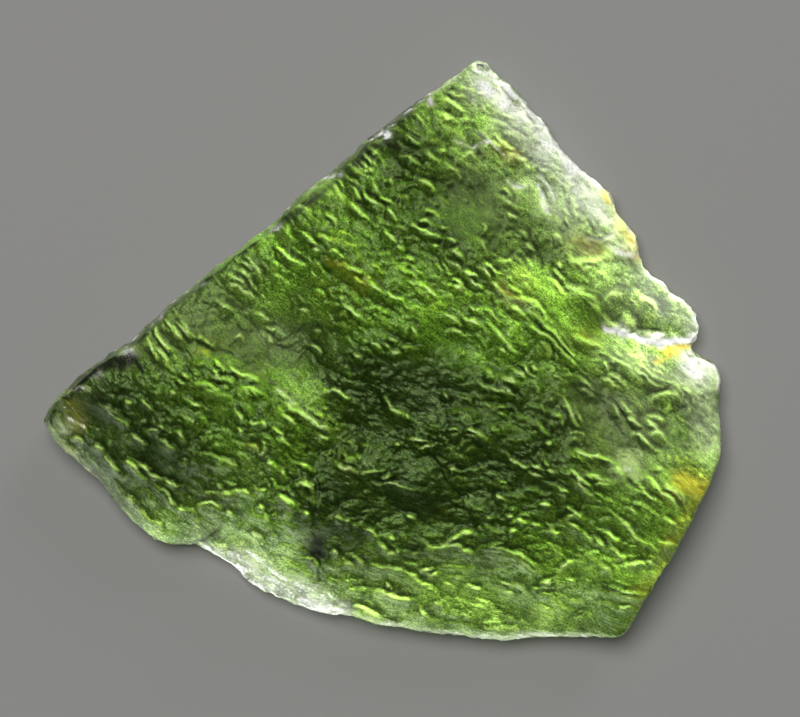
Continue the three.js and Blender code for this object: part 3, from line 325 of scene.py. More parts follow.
OCHRE_MARKS = (
    (1.0, 4, ((603, 194), (607, 202))), (0.6, 7, ((628, 236), (636, 246))),
    (0.7, 4, ((634, 257), (640, 260))), (1.0, 2, ((655, 360), (663, 358))),
    (1.0, 2.5, ((664, 352), (674, 349), (687, 346))), (0.8, 2, ((664, 358), (677, 354))),
    (1.0, 3.5, ((333, 263), (342, 267))), (0.5, 5, ((342, 268), (352, 278), (366, 290))),
    (0.7, 9, ((676, 482), (700, 490))), (0.3, 7, ((498, 148), (512, 156))),
    (0.5, 5, ((500, 290), (516, 300))), (0.4, 8, ((78, 408), (84, 420))),
    (0.5, 4, ((62, 446), (82, 466), (104, 490))), (0.5, 3, ((203, 351), (210, 352))),
    (0.3, 3, ((345, 464), (360, 470))), (0.8, 2, ((446, 508), (447, 510))),
    (0.25, 10, ((690, 505), (640, 595))), (0.25, 5, ((575, 335), (600, 345))),
    (0.3, 8, ((575, 244), (598, 254))), (0.4, 3, ((252, 442), (258, 444))),
    (0.25, 9, ((612, 200), (632, 250))),
)

# Painted shade: places painted darker, up to nearly black, from broad ones to thin lines
DARK_PAINTED_SHADE_MARKS = (
    (1.2, 9, ((48, 408), (76, 384), (106, 366), (136, 356))), (1.8, 8, ((316, 541), (318, 551))),
    (1.0, 2, ((196, 543), (209, 535), (222, 527))), (1.0, 3, ((138, 357), (142, 366), (147, 373))),
    (0.8, 6, ((145, 336), (160, 316), (205, 284), (262, 238), (300, 212))),
    (0.8, 6, ((300, 212), (330, 190), (352, 168), (384, 145), (396, 146))),
    (0.7, 5, ((404, 120), (430, 104), (456, 86))), (0.7, 8, ((388, 148), (405, 152), (420, 158))),
    (0.55, 18, ((452, 196), (470, 205), (488, 232))), (0.7, 9, ((577, 246), (600, 250))),
    (0.4, 14, ((580, 310), (596, 330))), (0.5, 13, ((568, 385), (600, 400))),
    (0.3, 30, ((370, 370), (450, 380), (440, 420))), (0.25, 40, ((345, 500), (420, 500), (500, 460))),
    (0.3, 34, ((110, 400), (150, 400), (200, 470))), (0.7, 3, ((472, 128), (482, 142))),
    (1.0, 2, ((476, 66), (488, 70))), (0.8, 2, ((541, 190), (549, 205))),
    (0.7, 1.5, ((500, 86), (512, 100), (522, 110), (534, 124))), (0.6, 5, ((628, 262), (636, 270))),
    (0.9, 3, ((319, 552), (320, 580))), (0.35, 10, ((205, 340), (236, 352))),
    (0.4, 9, ((320, 330), (340, 336))), (0.7, 2, ((636, 414), (642, 424))),
)

# Painted light and shade over broad places
# Places where the glass is brighter or, where the amount is below nought, darker: pixel, radius and amount.
SHADED_PLACES = (
    (405, 400, 70, -0.9), (404, 490, 80, -0.8), (332, 490, 55, -0.5), (112, 355, 50, -0.9),
    (262, 352, 50, -0.7), (320, 440, 40, -0.3), (470, 430, 60, -0.6), (592, 325, 14, -0.6),
    (514, 303, 12, 0.8), (650, 384, 10, -0.4), (545, 420, 50, -0.9), (190, 300, 50, -0.3),
    (400, 140, 55, -0.6), (480, 210, 50, -0.6), (330, 160, 50, -0.5), (620, 430, 50, -1.0),
    (188, 350, 45, -0.5), (410, 210, 40, -0.4), (100, 430, 60, -0.4), (150, 460, 50, -0.4),
    (160, 525, 24, 0.7), (250, 565, 45, 1.0), (330, 590, 40, 0.3), (560, 590, 50, 0.2), (630, 590, 50, 0.2),
    (620, 300, 60, 0.5), (440, 590, 50, 0.2), (490, 490, 50, -0.4), (560, 500, 40, -0.5),
    (290, 215, 30, -0.3), (700, 430, 30, -0.5), (190, 430, 40, -0.3), (545, 225, 35, -0.5),
    (265, 300, 40, 0.4), (480, 345, 30, 0.4), (695, 380, 30, -0.5), (190, 480, 45, -0.3),
)

# Places where the skin is calmer: pixel, radius in pixels and the share of the small relief that is left.
CALM_PLACES = (
    (262, 345, 30, 0.35), (290, 330, 30, 0.3), (300, 360, 40, 0.35), (225, 330, 30, 0.5),
    (240, 290, 30, 0.6), (640, 430, 45, 0.5), (500, 190, 30, 0.5), (470, 240, 25, 0.5), (590, 310, 30, 0.5),
    (455, 330, 30, 0.6), (400, 400, 45, 0.6), (440, 360, 40, 0.6), (330, 500, 30, 0.6), (420, 500, 40, 0.5),
    (620, 620, 40, 0.4), (100, 400, 30, 0.4), (250, 575, 40, 0.7), (190, 520, 30, 0.8),
)

# The terms of the smooth fields along and across the flow: powers of x and of y
POWERS = [(p, q) for p in range(5) for q in range(5 - p) if p + q > 0]
FIELD_X = (-18, 18, 37)  # where the fields are fitted: from, to and in how many places
FIELD_Y = (-15, 15, 31)
SIDE_WEIGHT = 2  # how much more it counts that a field is level across its own way
GUIDE_REACH = 0.5  # softens the pull of a guide point close by

SEED = 1  # of the random draws

WHITE = (1.0, 1.0, 1.0, 1)

# The floor and the two lamps over it, in metres and watts
FLOOR = {"radius": 3.0, "sides": 64, "colour": (0.22, 0.22, 0.215, 1), "roughness": 0.9, "gloss": 0.1}
SOFT_BOX = {"place": (-0.12, 0.22, 0.75), "size": 0.5, "power": 7.0, "colour": (1.0, 0.99, 0.97)}
GLINT_LAMP = {"place": (0.25, 0.43, 0.24), "size": 0.25, "power": 0.7, "colour": (1.0, 1.0, 1.0)}

# How often the light bounces
BOUNCES = 10
GLASS_BOUNCES = 8

# The bright surroundings under the stone and the dim ones over it
BACK_LIGHT_WAY = (-0.35, -0.84, -0.42)  # from the stone to the light behind it
BACK_LIGHT_FOCUS = 2.8  # the higher, the smaller the patch of light
BACK_LIGHT = 11.5  # brightness
FAR_LIGHT_WAY = (0.29, 0.77, -0.57)  # to the weaker light behind the far rim
FAR_LIGHT_FOCUS = 6.0
FAR_LIGHT = 2.0
BELOW = 0.16  # brightness of the rest of what lies behind the stone
ABOVE = 0.07  # and of the room above it
HORIZON = (-0.12, 0.0, 0.0, 1.0)  # heights between which the one fades into the other, and its shares

# Crests: their height and the widths of their steep upper and gentle lower sides, in millimetres
SHORT_STRAY_SHAPE = (0.12, 0.08, 0.17)
LONG_STRAY_SHAPE = (0.22, 0.12, 0.28)
THIN_SHAPE = (0.28, 0.13, 0.28)
LUMP_SHAPE = (0.32, 0.15, 0.6)
SHORT_STRAYS = (1500, 0.3)  # how many groups, and half the length of a crest
LONG_STRAYS = (600, 0.55)
STRAY_X = (-18, 18.5)  # where they are strewn
STRAY_Y = (-15, 15.5)
STRAY_TURN = 0.25  # radians by which they differ from the flow
STRAY_LENGTHS = (0.4, 1.4)  # the ranges in which they vary
STRAY_BOWS = (0.1, 0.5)
STRAY_STRENGTHS = (0.3, 1.0)
STRETCH_BETWEEN = (-8, 4)  # x from which and up to which the crests grow longer
STRETCH = (0.75, 1.25)
GROUP_SIZES = (1, 2, 3)  # crests side by side
GROUP_STEP = 0.6  # from one to the next, in half lengths
GROUP_SHIFT = 0.2  # millimetres along the flow
GROUP_STRENGTHS = (0.5, 1.0)
TRACED_STRENGTH = 1.3
CREST_REACH = 3  # in widths of the lower side
CREST_SHIFT = 0.6  # of the top, in widths of the upper side
END_MARGIN = 0.03  # share of the length in which an end gets no thinner
END_BLUNTNESS = 0.6  # power with which the crests run out towards their ends
# The painted highlight along a crest's edge, and the painted light and shade beside it
EDGE_SHIFT = 0.03  # millimetres towards the lower side
EDGE_WIDTH = 0.7  # in widths of the upper side
EDGE_SHARE = 0.65  # of the lit side's brightness, the rest falls off slowly
SHADE_SHIFT = 1.5  # in widths of the upper side
SEAM_DEPTH = 0.14
SEAM_WIDTH = 0.09
SEAM_REACH = 3  # in widths

# The skin's scales: how many, half their length and width, and their height, which is a depth underneath
BROAD_SCALES = (2600, 0.6, 0.36, 0.1)
SMALL_SCALES = (9000, 0.34, 0.17, 0.07)
UNDER_SCALES = (2600, 0.8, 0.4, 0.08)
SCALE_X = (-18.5, 18.5)  # where they are strewn
SCALE_Y = (-16, 16)
SCALE_SIZES = (0.5, 1.5)  # the ranges in which they vary
SCALE_LENGTHS = (0.7, 1.3)
SCALE_RISES = (0.5, 1.4)
SCALE_TURN = 0.22  # radians by which they differ from the flow
SCALE_BOW = 0.6  # how far the ends bend down, in half widths
SCALE_REACH = 1.2  # in half lengths
SCALE_CLIMB = 1.7  # width of the gentle side, in half widths
SCALE_FALL = 0.3  # and of the steep side
# Its grain: height, size along the flow and across it, and the number of the noise
SKIN_GRAINS = ((0.05, 0.3, 0.16, 11), (0.03, 0.17, 0.11, 12))
# Jags of the outlines of crests, scales and marks: amount, size and the numbers of the noise for x and y
JAGS = ((0.07, 0.28, 21, 23), (0.12, 0.9, 22, 24))
# Chips of the side walls: height, size, how they lean in x and y, and the number of the noise
WALL_CHIPS = ((0.07, 0.4, 0.7, -0.9, 31), (0.06, 0.2, -0.8, 0.6, 32))
CHIP_LEVEL = 0.3  # the chips are cut in more than they stand out, by this share of their height
WALL_SLOPE = 0.8  # z of a normal, below which a place starts to count as wall
RELIEF_DEPTH = 0.25  # how far the face is lowered before its relief is raised
FOOT_HEIGHT = 0.05  # below this the worn feet stay flat
WEAR_ROUNDS = 80
WEAR_FROM = 0.3  # z of a normal, above which a place starts to wear down
WEAR_OVER = 0.4  # and how much more it takes to wear fully
SQUARE = 0.5  # side of the squares in which nearby points are found
LATTICE = 256  # points on each side of the noise, before it repeats
LEAST_RELIEF = 0.1  # share of the small relief that even the calmest places keep
SHADE_FALLOFF = 2  # power with which a shaded place fades out at its border
CALM_FALLOFF = 4  # and a calm one, which has a firmer border
LARGEST_SCALE = 1.6  # of the scales' painted light and shade, in spreads of the relief
EDGE_FROM = 0.5  # how strong a crest has to be before the painted highlight on its edge shows
EDGE_OVER = 0.8  # and how much stronger to show fully
EDGE_LIMIT = 0.7  # what that is then worth
SEAM_PAINTED_SHADE = 5  # how much the seams darken the glass and the scales lighten or darken it, as painted shade and light
SCALE_PAINTED_LIGHT_AND_SHADE = 0.25
RIM_REACH = 0.45  # how far marks run down a wall
WANDER = (0.5, 0.3, 5)  # size along the flow and across it, and the number of the noise
WANDER_AMOUNT = 0.45  # share by which the width of a mark wanders
MARK_REACH = 2.5  # in widths of the mark
# The marks in each of the masks that the glass reads
MARKS = {"frost_and_painted_light": FROST_AND_PAINTED_LIGHT_MARKS, "haze_and_sheen": HAZE_AND_SHEEN_MARKS, "ochre": OCHRE_MARKS, "dark_painted_shade": DARK_PAINTED_SHADE_MARKS}

# How the solid's facets are cut and smoothed
SAME_PLACE = 1e-6  # metres between points that are one
UPPER_FACET = 0.3  # z of a normal, above which a facet gets the finer cuts
UPPER_CUTS = 4
LOWER_CUTS = 2
SMOOTHING = 0.5
SMOOTHING_ROUNDS = 10

# The glass
IOR = 1.49
GLOSS_TINT = (0.6, 0.9, 0.35, 1)
ABSORBED = (0.65, 0.75, 0.36, 1)
DENSITY = 560
# Its patterns: detail, and waves in a millimetre along the flow, across it and in depth
STREAKS = (3, (3.0, 8.0, 3.0))
GRAIN = (4, (9.0, 14.0, 9.0))
FIBRES = (3, (2.2, 11.0, 2.2))
PATCHES = (2, (1.5, 2.5, 1.5))
# the pattern of the painted sparkle
SPARKLE_PATTERN = (2, (13.0, 17.0, 13.0))
STREAK_DEPTH = 0.05 * MM
GRAIN_DEPTH = 0.02 * MM
# How a pattern or a mask is spread: from the first two values to the last two
# bruises with painted light, and haze with painted sheen
FROST_AND_PAINTED_LIGHT_GRAIN = (0.25, 0.75, -0.35, 0.35)
FROST_AND_PAINTED_LIGHT_PATCHES = (0.35, 0.65, -0.5, 0.2)
FROST_AND_PAINTED_LIGHT = (0.4, 0.8, 0.0, 0.9)
HAZE_AND_SHEEN_GRAIN = (0.4, 0.6, 0.2, 1.4)
HAZE_AND_SHEEN_FIBRES = (0.4, 0.6, 0.5, 1.4)
# painted highlights along crest edges
CREST_HIGHLIGHT_SPREAD = (0.1, 0.6, 0.0, 0.5)
CREST_HIGHLIGHT_GRAIN = (0.4, 0.6, 0.3, 1.3)
# painted sparkle
SPARKLE_SPREAD = (0.58, 0.66, 0.0, 0.45)
# painted dark shade, which also makes the glass opaque
DARK_SHADE_SPREAD = (0.4, 1.0, 0.0, 1.0)
SATIN = (0.0, 0.6, 0.3, 0.6)
PAINTED_LIGHT_AND_SHADE_FIBRES = (0.35, 0.65, 0.6, 1.5)
LEVEL_GRAIN = (0.36, 0.64, -0.5, 0.5)
LEVEL_FIBRES = (0.36, 0.64, -0.25, 0.25)
RAMP_LEVEL = (-1.2, 1.2, 0.0, 1.0)
SHADE_GAIN = (-1.0, 1.0, 0.15, 1.5)
CREST_GAIN = (0.2, 0.9, 0.0, 1.0)
TINT_PATTERN = (0.3, 0.7, 0.55, 1.3)
# The sockets for colours on a Mix node, which share their names with others
MIX_FIRST = 6
MIX_SECOND = 7
MIX_RESULT = 2
# Its colours, from painted shade beyond the crests to painted light on their lit sides, green between
GLASS_RAMP = (
    (0.0, (0.02, 0.03, 0.01, 1)),
    (0.5, (0.18, 0.315, 0.055, 1)),
    (0.72, (0.5, 0.82, 0.16, 1)),
    (1.0, (0.78, 1.0, 0.32, 1)),
)
# Colours of the painted crest highlights, the ochre stains and the painted dark shade
CREST_HIGHLIGHT_COLOUR = (0.88, 1.0, 0.62, 1)
OCHRE_COLOUR = (0.72, 0.47, 0.05, 1)
DARK_PAINTED_SHADE_COLOUR = (0.008, 0.01, 0.006, 1)

# Which way the glass flowed, in degrees from +X, at guide points on the upper face, in millimetres
FLOW = (
    (-15.5, -6.0, -58), (-12.5, -4.0, -48), (-9.7, 0.5, -48), (-7.6, 3.2, -50), (-1.7, 4.2, -36),
    (-0.2, 8.0, -50), (3.5, 12.7, -42), (9.4, 8.0, -60), (12.0, 3.2, -52), (6.2, 2.1, -34),
    (9.4, 0.0, -40), (13.6, -1.1, -32), (12.6, -4.2, -52), (15.7, -7.4, -55), (10.4, -6.9, -28),
    (3.6, -4.2, -12), (0.9, -5.8, -12), (-8.1, -5.3, -22), (5.1, -10.3, -8), (12.6, -12.7, -17),
    (0.9, -11.7, -22), (8.3, -13.3, -15), (-4.4, -8.5, -26), (15.7, -3.7, -68),
)


def deselect_all():
    """Leaves nothing selected, because operators act on all that is."""
    for thing in bpy.context.selected_objects:
        thing.select_set(False)


def make_camera():
    """Looks straight down at the broad face, framed as in the photograph."""
    across = PHOTO_SIZE[0] * PIXEL
    distance = across * LENS / SENSOR
    x = (PHOTO_SIZE[0] / 2 - STONE_MIDDLE_PIXEL[0]) * PIXEL
    y = (STONE_MIDDLE_PIXEL[1] - PHOTO_SIZE[1] / 2) * PIXEL
    deselect_all()
    bpy.ops.object.camera_add(location=(x, y, RIM_HEIGHT + distance), rotation=(0, 0, 0))
    camera = bpy.context.object
    camera.name = "camera"
    camera.data.lens = LENS
    camera.data.sensor_width = SENSOR
    camera.data.clip_start = NEAREST
    camera.data.clip_end = FARTHEST
    bpy.context.scene.camera = camera


def make_floor():
    """A wide round of paper. It isn't seen through the glass, and lets the light from below pass."""
    deselect_all()
    sides, radius = FLOOR["sides"], FLOOR["radius"]
    bpy.ops.mesh.primitive_circle_add(vertices=sides, radius=radius, fill_type="NGON", location=(0, 0, 0))
    floor = bpy.context.object
    floor.name = "floor"
    material = bpy.data.materials.new("floor_paper")
    material.use_nodes = True
    shader = material.node_tree.nodes["Principled BSDF"]
    shader.inputs["Base Color"].default_value = FLOOR["colour"]
    shader.inputs["Roughness"].default_value = FLOOR["roughness"]
    shader.inputs["Specular IOR Level"].default_value = FLOOR["gloss"]
    floor.data.materials.append(material)
    floor.visible_transmission = False
    floor.visible_shadow = False


def add_area(name, place, size, power, colour):
    """A round lamp that shines at the stone."""
    light = bpy.data.lights.new(name, "AREA")
    light.shape = "DISK"
    light.size = size
    light.energy = power
    light.color = colour
    lamp = bpy.data.objects.new(name, light)
    bpy.context.scene.collection.objects.link(lamp)
    lamp.location = place
    lamp.rotation_mode = "QUATERNION"
    lamp.rotation_quaternion = (-Vector(place)).to_track_quat("-Z", "Y")
    return lamp


def make_lights():
    """A soft box high over the stone and a small lamp that gives its glints."""
    soft_box = add_area("soft_box", **SOFT_BOX)
    soft_box.visible_glossy = False
    glint = add_area("glint_lamp", **GLINT_LAMP)
    glint.visible_transmission = False


def glow_towards(tree, around, way, focus):
    """A soft patch of light in one direction."""
    dot = tree.nodes.new("ShaderNodeVectorMath")
    dot.operation = "DOT_PRODUCT"
    dot.inputs[1].default_value = Vector(way).normalized()
    tree.links.new(around, dot.inputs[0])
    facing = math_node(tree, "MAXIMUM", dot.outputs["Value"], 0.0)
    return math_node(tree, "POWER", facing, focus)


def make_surroundings():
    """Bright below, where the light shines through the glass from behind, and dim above."""
    world = bpy.data.worlds.new("studio")
    bpy.context.scene.world = world
    world.use_nodes = True
    tree = world.node_tree
    around = tree.nodes.new("ShaderNodeTexCoord").outputs["Generated"]
    back = glow_towards(tree, around, BACK_LIGHT_WAY, BACK_LIGHT_FOCUS)
    behind = math_node(tree, "MULTIPLY_ADD", back, BACK_LIGHT, BELOW)
    far = glow_towards(tree, around, FAR_LIGHT_WAY, FAR_LIGHT_FOCUS)
    behind = math_node(tree, "MULTIPLY_ADD", far, FAR_LIGHT, behind)
    split = tree.nodes.new("ShaderNodeSeparateXYZ")
    tree.links.new(around, split.inputs["Vector"])
    choose = tree.nodes.new("ShaderNodeMix")
    tree.links.new(map_range(tree, split.outputs["Z"], HORIZON), choose.inputs["Factor"])
    tree.links.new(behind, choose.inputs["A"])
    choose.inputs["B"].default_value = ABOVE
    background = tree.nodes["Background"]
    background.inputs["Color"].default_value = WHITE
    tree.links.new(choose.outputs["Result"], background.inputs["Strength"])


def join(tree, value, socket):
    """Links a node's output to a socket, or sets a plain value on it."""
    if isinstance(value, bpy.types.NodeSocket):
        tree.links.new(value, socket)
    elif value is not None:
        socket.default_value = value


def math_node(tree, operation, first, second, third=None):
    """The result of a sum or another operation on sockets or plain values."""
    node = tree.nodes.new("ShaderNodeMath")
    node.operation = operation
    for socket, value in zip(node.inputs, (first, second, third)):
        join(tree, value, socket)
    return node.outputs["Value"]


def map_range(tree, value, spread):
    """Spreads a value smoothly from the first two numbers of the spread to the last two."""
    node = tree.nodes.new("ShaderNodeMapRange")
    node.interpolation_type = "SMOOTHSTEP"
    for name, number in zip(("From Min", "From Max", "To Min", "To Max"), spread):
        node.inputs[name].default_value = number
    tree.links.new(value, node.inputs["Value"])
    return node.outputs["Result"]


def flow_angles(x, y):
    """Angle of the flow at each place, in radians; x and y in millimetres."""
    total = np.zeros_like(x)
    weights = np.zeros_like(x)
    for guide_x, guide_y, angle in FLOW:
        weight = 1 / ((x - guide_x) ** 2 + (y - guide_y) ** 2 + GUIDE_REACH) ** 2
        total += weight * angle
        weights += weight
    return np.radians(total / weights)


def on_stone(pixels):
    """A line in pixels of the photograph, as places on the stone in millimetres."""
    places = np.array(pixels, dtype=float)
    x = (places[:, 0] - STONE_MIDDLE_PIXEL[0]) * PIXEL / MM
    y = (STONE_MIDDLE_PIXEL[1] - places[:, 1]) * PIXEL / MM
    return np.stack([x, y], axis=1)


def rounded(line, pieces=5):
    """Points along a smooth curve through the given ones."""
    padded = np.concatenate([2 * line[:1] - line[1:2], line, 2 * line[-1:] - line[-2:-1]])
    points = []
    for a, b, c, d in zip(padded, padded[1:], padded[2:], padded[3:]):
        for k in range(pieces):
            t = k / pieces
            points.append(0.5 * (2 * b + (c - a) * t + (2 * a - 5 * b + 4 * c - d) * t ** 2
                                 + (3 * b - a - 3 * c + d) * t ** 3))
    points.append(line[-1])
    return np.array(points)


def beside(index, line, reach):
    """The points near a line: their numbers, distances to its left and shares of the way along it."""
    middle = (line.min(axis=0) + line.max(axis=0)) / 2
    half = np.max(line.max(axis=0) - line.min(axis=0)) / 2 + reach
    near = index.near(middle[0], middle[1], half)
    x, y = index.x[near], index.y[near]
    best = np.full(len(near), np.inf)
    aside = np.zeros(len(near))
    share = np.zeros(len(near))
    for i in range(len(line) - 1):
        (ax, ay), (bx, by) = line[i], line[i + 1]
        dx, dy = bx - ax, by - ay
        span = dx * dx + dy * dy
        t = np.clip(((x - ax) * dx + (y - ay) * dy) / span, 0, 1)
        distance = np.hypot(x - ax - t * dx, y - ay - t * dy)
        nearer = distance < best
        side = np.sign(dx * (y - ay) - dy * (x - ax))
        best = np.where(nearer, distance, best)
        aside = np.where(nearer, side * distance, aside)
        share = np.where(nearer, (i + t) / (len(line) - 1), share)
    kept = best < reach
    return near[kept], aside[kept], share[kept]


def raise_crests(index, lines, shape, height, painted_light_and_shade, crest_highlight):
    """Raises crests along lines, steep on their left, and paints light on them, shade beyond and edge
    highlights.
    """
    lift, upper, lower = shape
    for line, strength in lines:
        near, aside, share = beside(index, rounded(line), CREST_REACH * lower)
        ends = np.sin(np.pi * np.clip(share, END_MARGIN, 1 - END_MARGIN)) ** END_BLUNTNESS
        width = np.where(aside + CREST_SHIFT * upper > 0, upper, lower)
        rise = strength * lift * ends * np.exp(-((aside + CREST_SHIFT * upper) / width) ** 2)
        height[near] = np.maximum(height[near], rise)
        # Painted highlight along the crest's edge
        narrow = np.exp(-((aside + EDGE_SHIFT) / (EDGE_WIDTH * upper)) ** 2)
        crest_highlight[near] = np.maximum(crest_highlight[near], strength * ends * narrow)
        # Painted light on the crest's lit side and painted shade beyond it
        slow = EDGE_SHARE * narrow + (1 - EDGE_SHARE) * np.exp(-(aside / lower) ** 2)
        lit = np.where(aside < 0, slow, narrow)
        shade = np.exp(-((aside - SHADE_SHIFT * upper) / upper) ** 2)
        here = strength * ends * (lit - shade)
        stronger = np.abs(here) > np.abs(painted_light_and_shade[near])
        painted_light_and_shade[near[stronger]] = here[stronger]


def round_places(x, y, places, power):
    """Each round place's amount, with its weight at every point: 1 at its middle and nought far outside."""
    for pixel_x, pixel_y, radius, amount in places:
        middle_x, middle_y = on_stone(((pixel_x, pixel_y),))[0]
        far = np.hypot(x - middle_x, y - middle_y) / (radius * PIXEL / MM)
        yield amount, np.exp(-far ** power)


def shaded(x, y):
    """How much the painted light and shade brighten or darken the glass at each point."""
    shade = np.zeros_like(x)
    for amount, weight in round_places(x, y, SHADED_PLACES, SHADE_FALLOFF):
        shade += amount * weight
    return np.clip(shade, -1, 1)


def calm(x, y):
    """How much of the small relief each point keeps."""
    kept = np.ones_like(x)
    for share, weight in round_places(x, y, CALM_PLACES, CALM_FALLOFF):
        kept -= (1 - share) * weight
    return np.clip(kept, LEAST_RELIEF, 1)


def stray_lines(rng, count, length):
    """Short arched crests strewn along the flow, up to three together, rounder on the left of the stone."""
    lines = []
    for _ in range(count):
        x, y = rng.uniform(*STRAY_X), rng.uniform(*STRAY_Y)
        turn = flow_angles(np.array([x]), np.array([y]))[0] + rng.gauss(0, STRAY_TURN)
        stretch = np.interp(x, STRETCH_BETWEEN, STRETCH)
        half = length * stretch * rng.uniform(*STRAY_LENGTHS)
        bow = half * rng.uniform(*STRAY_BOWS) / stretch ** 2
        ahead = np.array([math.cos(turn), math.sin(turn)])
        aside = np.array([-math.sin(turn), math.cos(turn)])
        strength = calm(np.array([x]), np.array([y]))[0] * rng.uniform(*STRAY_STRENGTHS)
        for k in range(rng.choice(GROUP_SIZES)):
            middle = np.array([x, y]) - aside * GROUP_STEP * length * k + ahead * rng.gauss(0, GROUP_SHIFT)
            start = middle - ahead * half - aside * bow
            end = middle + ahead * half - aside * bow
            line = np.array([start, middle + aside * bow, end])
            lines.append((line, strength * rng.uniform(*GROUP_STRENGTHS)))
    return lines


def traced(lines):
    """Lines traced in the photograph, as places on the stone with their strength."""
    return [(on_stone(line), TRACED_STRENGTH) for line in lines]


def seamed(index):
    """Depth of the thin grooves along the seams."""
    height = np.zeros_like(index.x)
    for pixels in SEAMS:
        near, aside, _ = beside(index, rounded(on_stone(pixels)), SEAM_REACH * SEAM_WIDTH)
        height[near] = np.minimum(height[near], -SEAM_DEPTH * np.exp(-(aside / SEAM_WIDTH) ** 2))
    return height


def fit_flow():
    """Two smooth fields over the stone, one growing along the flow and one across it, as sums of powers."""
    xs, ys = np.meshgrid(np.linspace(*FIELD_X), np.linspace(*FIELD_Y))
    xs, ys = xs.ravel(), ys.ravel()
    turn = flow_angles(xs, ys)
    slope_x = np.stack([p * xs ** max(p - 1, 0) * ys ** q for p, q in POWERS], axis=1)
    slope_y = np.stack([q * xs ** p * ys ** max(q - 1, 0) for p, q in POWERS], axis=1)
    ahead = slope_x * np.cos(turn)[:, None] + slope_y * np.sin(turn)[:, None]
    aside = slope_y * np.cos(turn)[:, None] - slope_x * np.sin(turn)[:, None]
    wanted = np.concatenate([np.ones_like(xs), np.zeros_like(xs)])
    along = np.linalg.lstsq(np.concatenate([ahead, SIDE_WEIGHT * aside]), wanted, rcond=None)[0]
    across = np.linalg.lstsq(np.concatenate([aside, SIDE_WEIGHT * ahead]), wanted, rcond=None)[0]
    return along, across


def flow_places(x, y):
    """How far along and across the flow each place lies, in millimetres."""
    along, across = fit_flow()
    terms = np.stack([x ** p * y ** q for p, q in POWERS], axis=1)
    return terms @ along, terms @ across


class PlaceIndex:
    """Finds the points near a place, in squares of a grid."""

    def __init__(self, x, y, cell):
        self.cell = cell
        self.x, self.y = x, y
        self.squares = {}
        for i, key in enumerate(zip(np.floor(x / cell).astype(int), np.floor(y / cell).astype(int))):
            self.squares.setdefault(key, []).append(i)
        self.squares = {key: np.array(found) for key, found in self.squares.items()}

    def near(self, x, y, reach):
        """The numbers of the points in all the squares within reach."""
        low_x, high_x = math.floor((x - reach) / self.cell), math.floor((x + reach) / self.cell)
        low_y, high_y = math.floor((y - reach) / self.cell), math.floor((y + reach) / self.cell)
        found = [
            self.squares[(i, j)]
            for i in range(low_x, high_x + 1)
            for j in range(low_y, high_y + 1)
            if (i, j) in self.squares
        ]
        return np.concatenate(found) if found else np.array([], dtype=int)

    def tops(self, heights):
        """The greatest height in each point's own square."""
        found = np.zeros_like(heights)
        for members in self.squares.values():
            found[members] = heights[members].max()
        return found


def scaled(index, rng, count, half_long, half_wide, rise):
    """Height of a skin of overlapping scales, arched and steep on their upper right sides."""
    height = np.zeros_like(index.x)
    xs = np.array([rng.uniform(*SCALE_X) for _ in range(count)])
    ys = np.array([rng.uniform(*SCALE_Y) for _ in range(count)])
    turns = flow_angles(xs, ys)
    for x, y, turn in zip(xs, ys, turns):
        size = rng.uniform(*SCALE_SIZES)
        turn += rng.gauss(0, SCALE_TURN)
        along = half_long * size * rng.uniform(*SCALE_LENGTHS)
        across = half_wide * size
        lift = rise * size * rng.uniform(*SCALE_RISES)
        near = index.near(x, y, max(along, across) * SCALE_REACH)
        if not len(near):
            continue
        dx, dy = index.x[near] - x, index.y[near] - y
        u = (dx * math.cos(turn) + dy * math.sin(turn)) / along
        v = (dy * math.cos(turn) - dx * math.sin(turn)) / across + SCALE_BOW * u * u
        climb = np.clip((v + 1) / SCALE_CLIMB, 0, 1)
        fall = np.clip((1 - v) / SCALE_FALL, 0, 1)
        body = np.minimum(climb, fall * (2 - fall)) * np.clip(1 - u * u, 0, 1)
        height[near] = np.maximum(height[near], lift * body)
    return height


def refine(stone):
    """Splits the facets, finest on the upper face, and rounds them off."""
    mesh = stone.data
    deselect_all()
    bpy.context.view_layer.objects.active = stone
    stone.select_set(True)
    bpy.ops.object.mode_set(mode="EDIT")
    bpy.ops.mesh.select_all(action="SELECT")
    bpy.ops.mesh.remove_doubles(threshold=SAME_PLACE)
    bpy.ops.mesh.select_mode(type="FACE")
    bpy.ops.mesh.select_all(action="DESELECT")
    bpy.ops.object.mode_set(mode="OBJECT")
    lie = np.empty(len(mesh.polygons) * 3)
    mesh.polygons.foreach_get("normal", lie)
    mesh.polygons.foreach_set("select", lie.reshape(-1, 3)[:, 2] > UPPER_FACET)
    bpy.ops.object.mode_set(mode="EDIT")
    bpy.ops.mesh.subdivide(number_cuts=UPPER_CUTS)
    bpy.ops.mesh.select_all(action="INVERT")
    bpy.ops.mesh.subdivide(number_cuts=LOWER_CUTS)
    bpy.ops.mesh.select_all(action="SELECT")
    bpy.ops.mesh.quads_convert_to_tris()
    bpy.ops.mesh.vertices_smooth(factor=SMOOTHING, repeat=SMOOTHING_ROUNDS)
    bpy.ops.object.mode_set(mode="OBJECT")


def lattice_noise(x, y, seed):
    """Smooth noise between -1 and 1, with swells about one unit wide."""
    grid = np.random.RandomState(seed).uniform(-1, 1, (LATTICE, LATTICE))
    i, j = np.floor(x).astype(int), np.floor(y).astype(int)
    s, t = x - i, y - j
    s, t = s * s * (3 - 2 * s), t * t * (3 - 2 * t)
    left, right = i % LATTICE, (i + 1) % LATTICE
    near, far = j % LATTICE, (j + 1) % LATTICE
    low = grid[left, near] * (1 - s) + grid[right, near] * s
    high = grid[left, far] * (1 - s) + grid[right, far] * s
    return low * (1 - t) + high * t


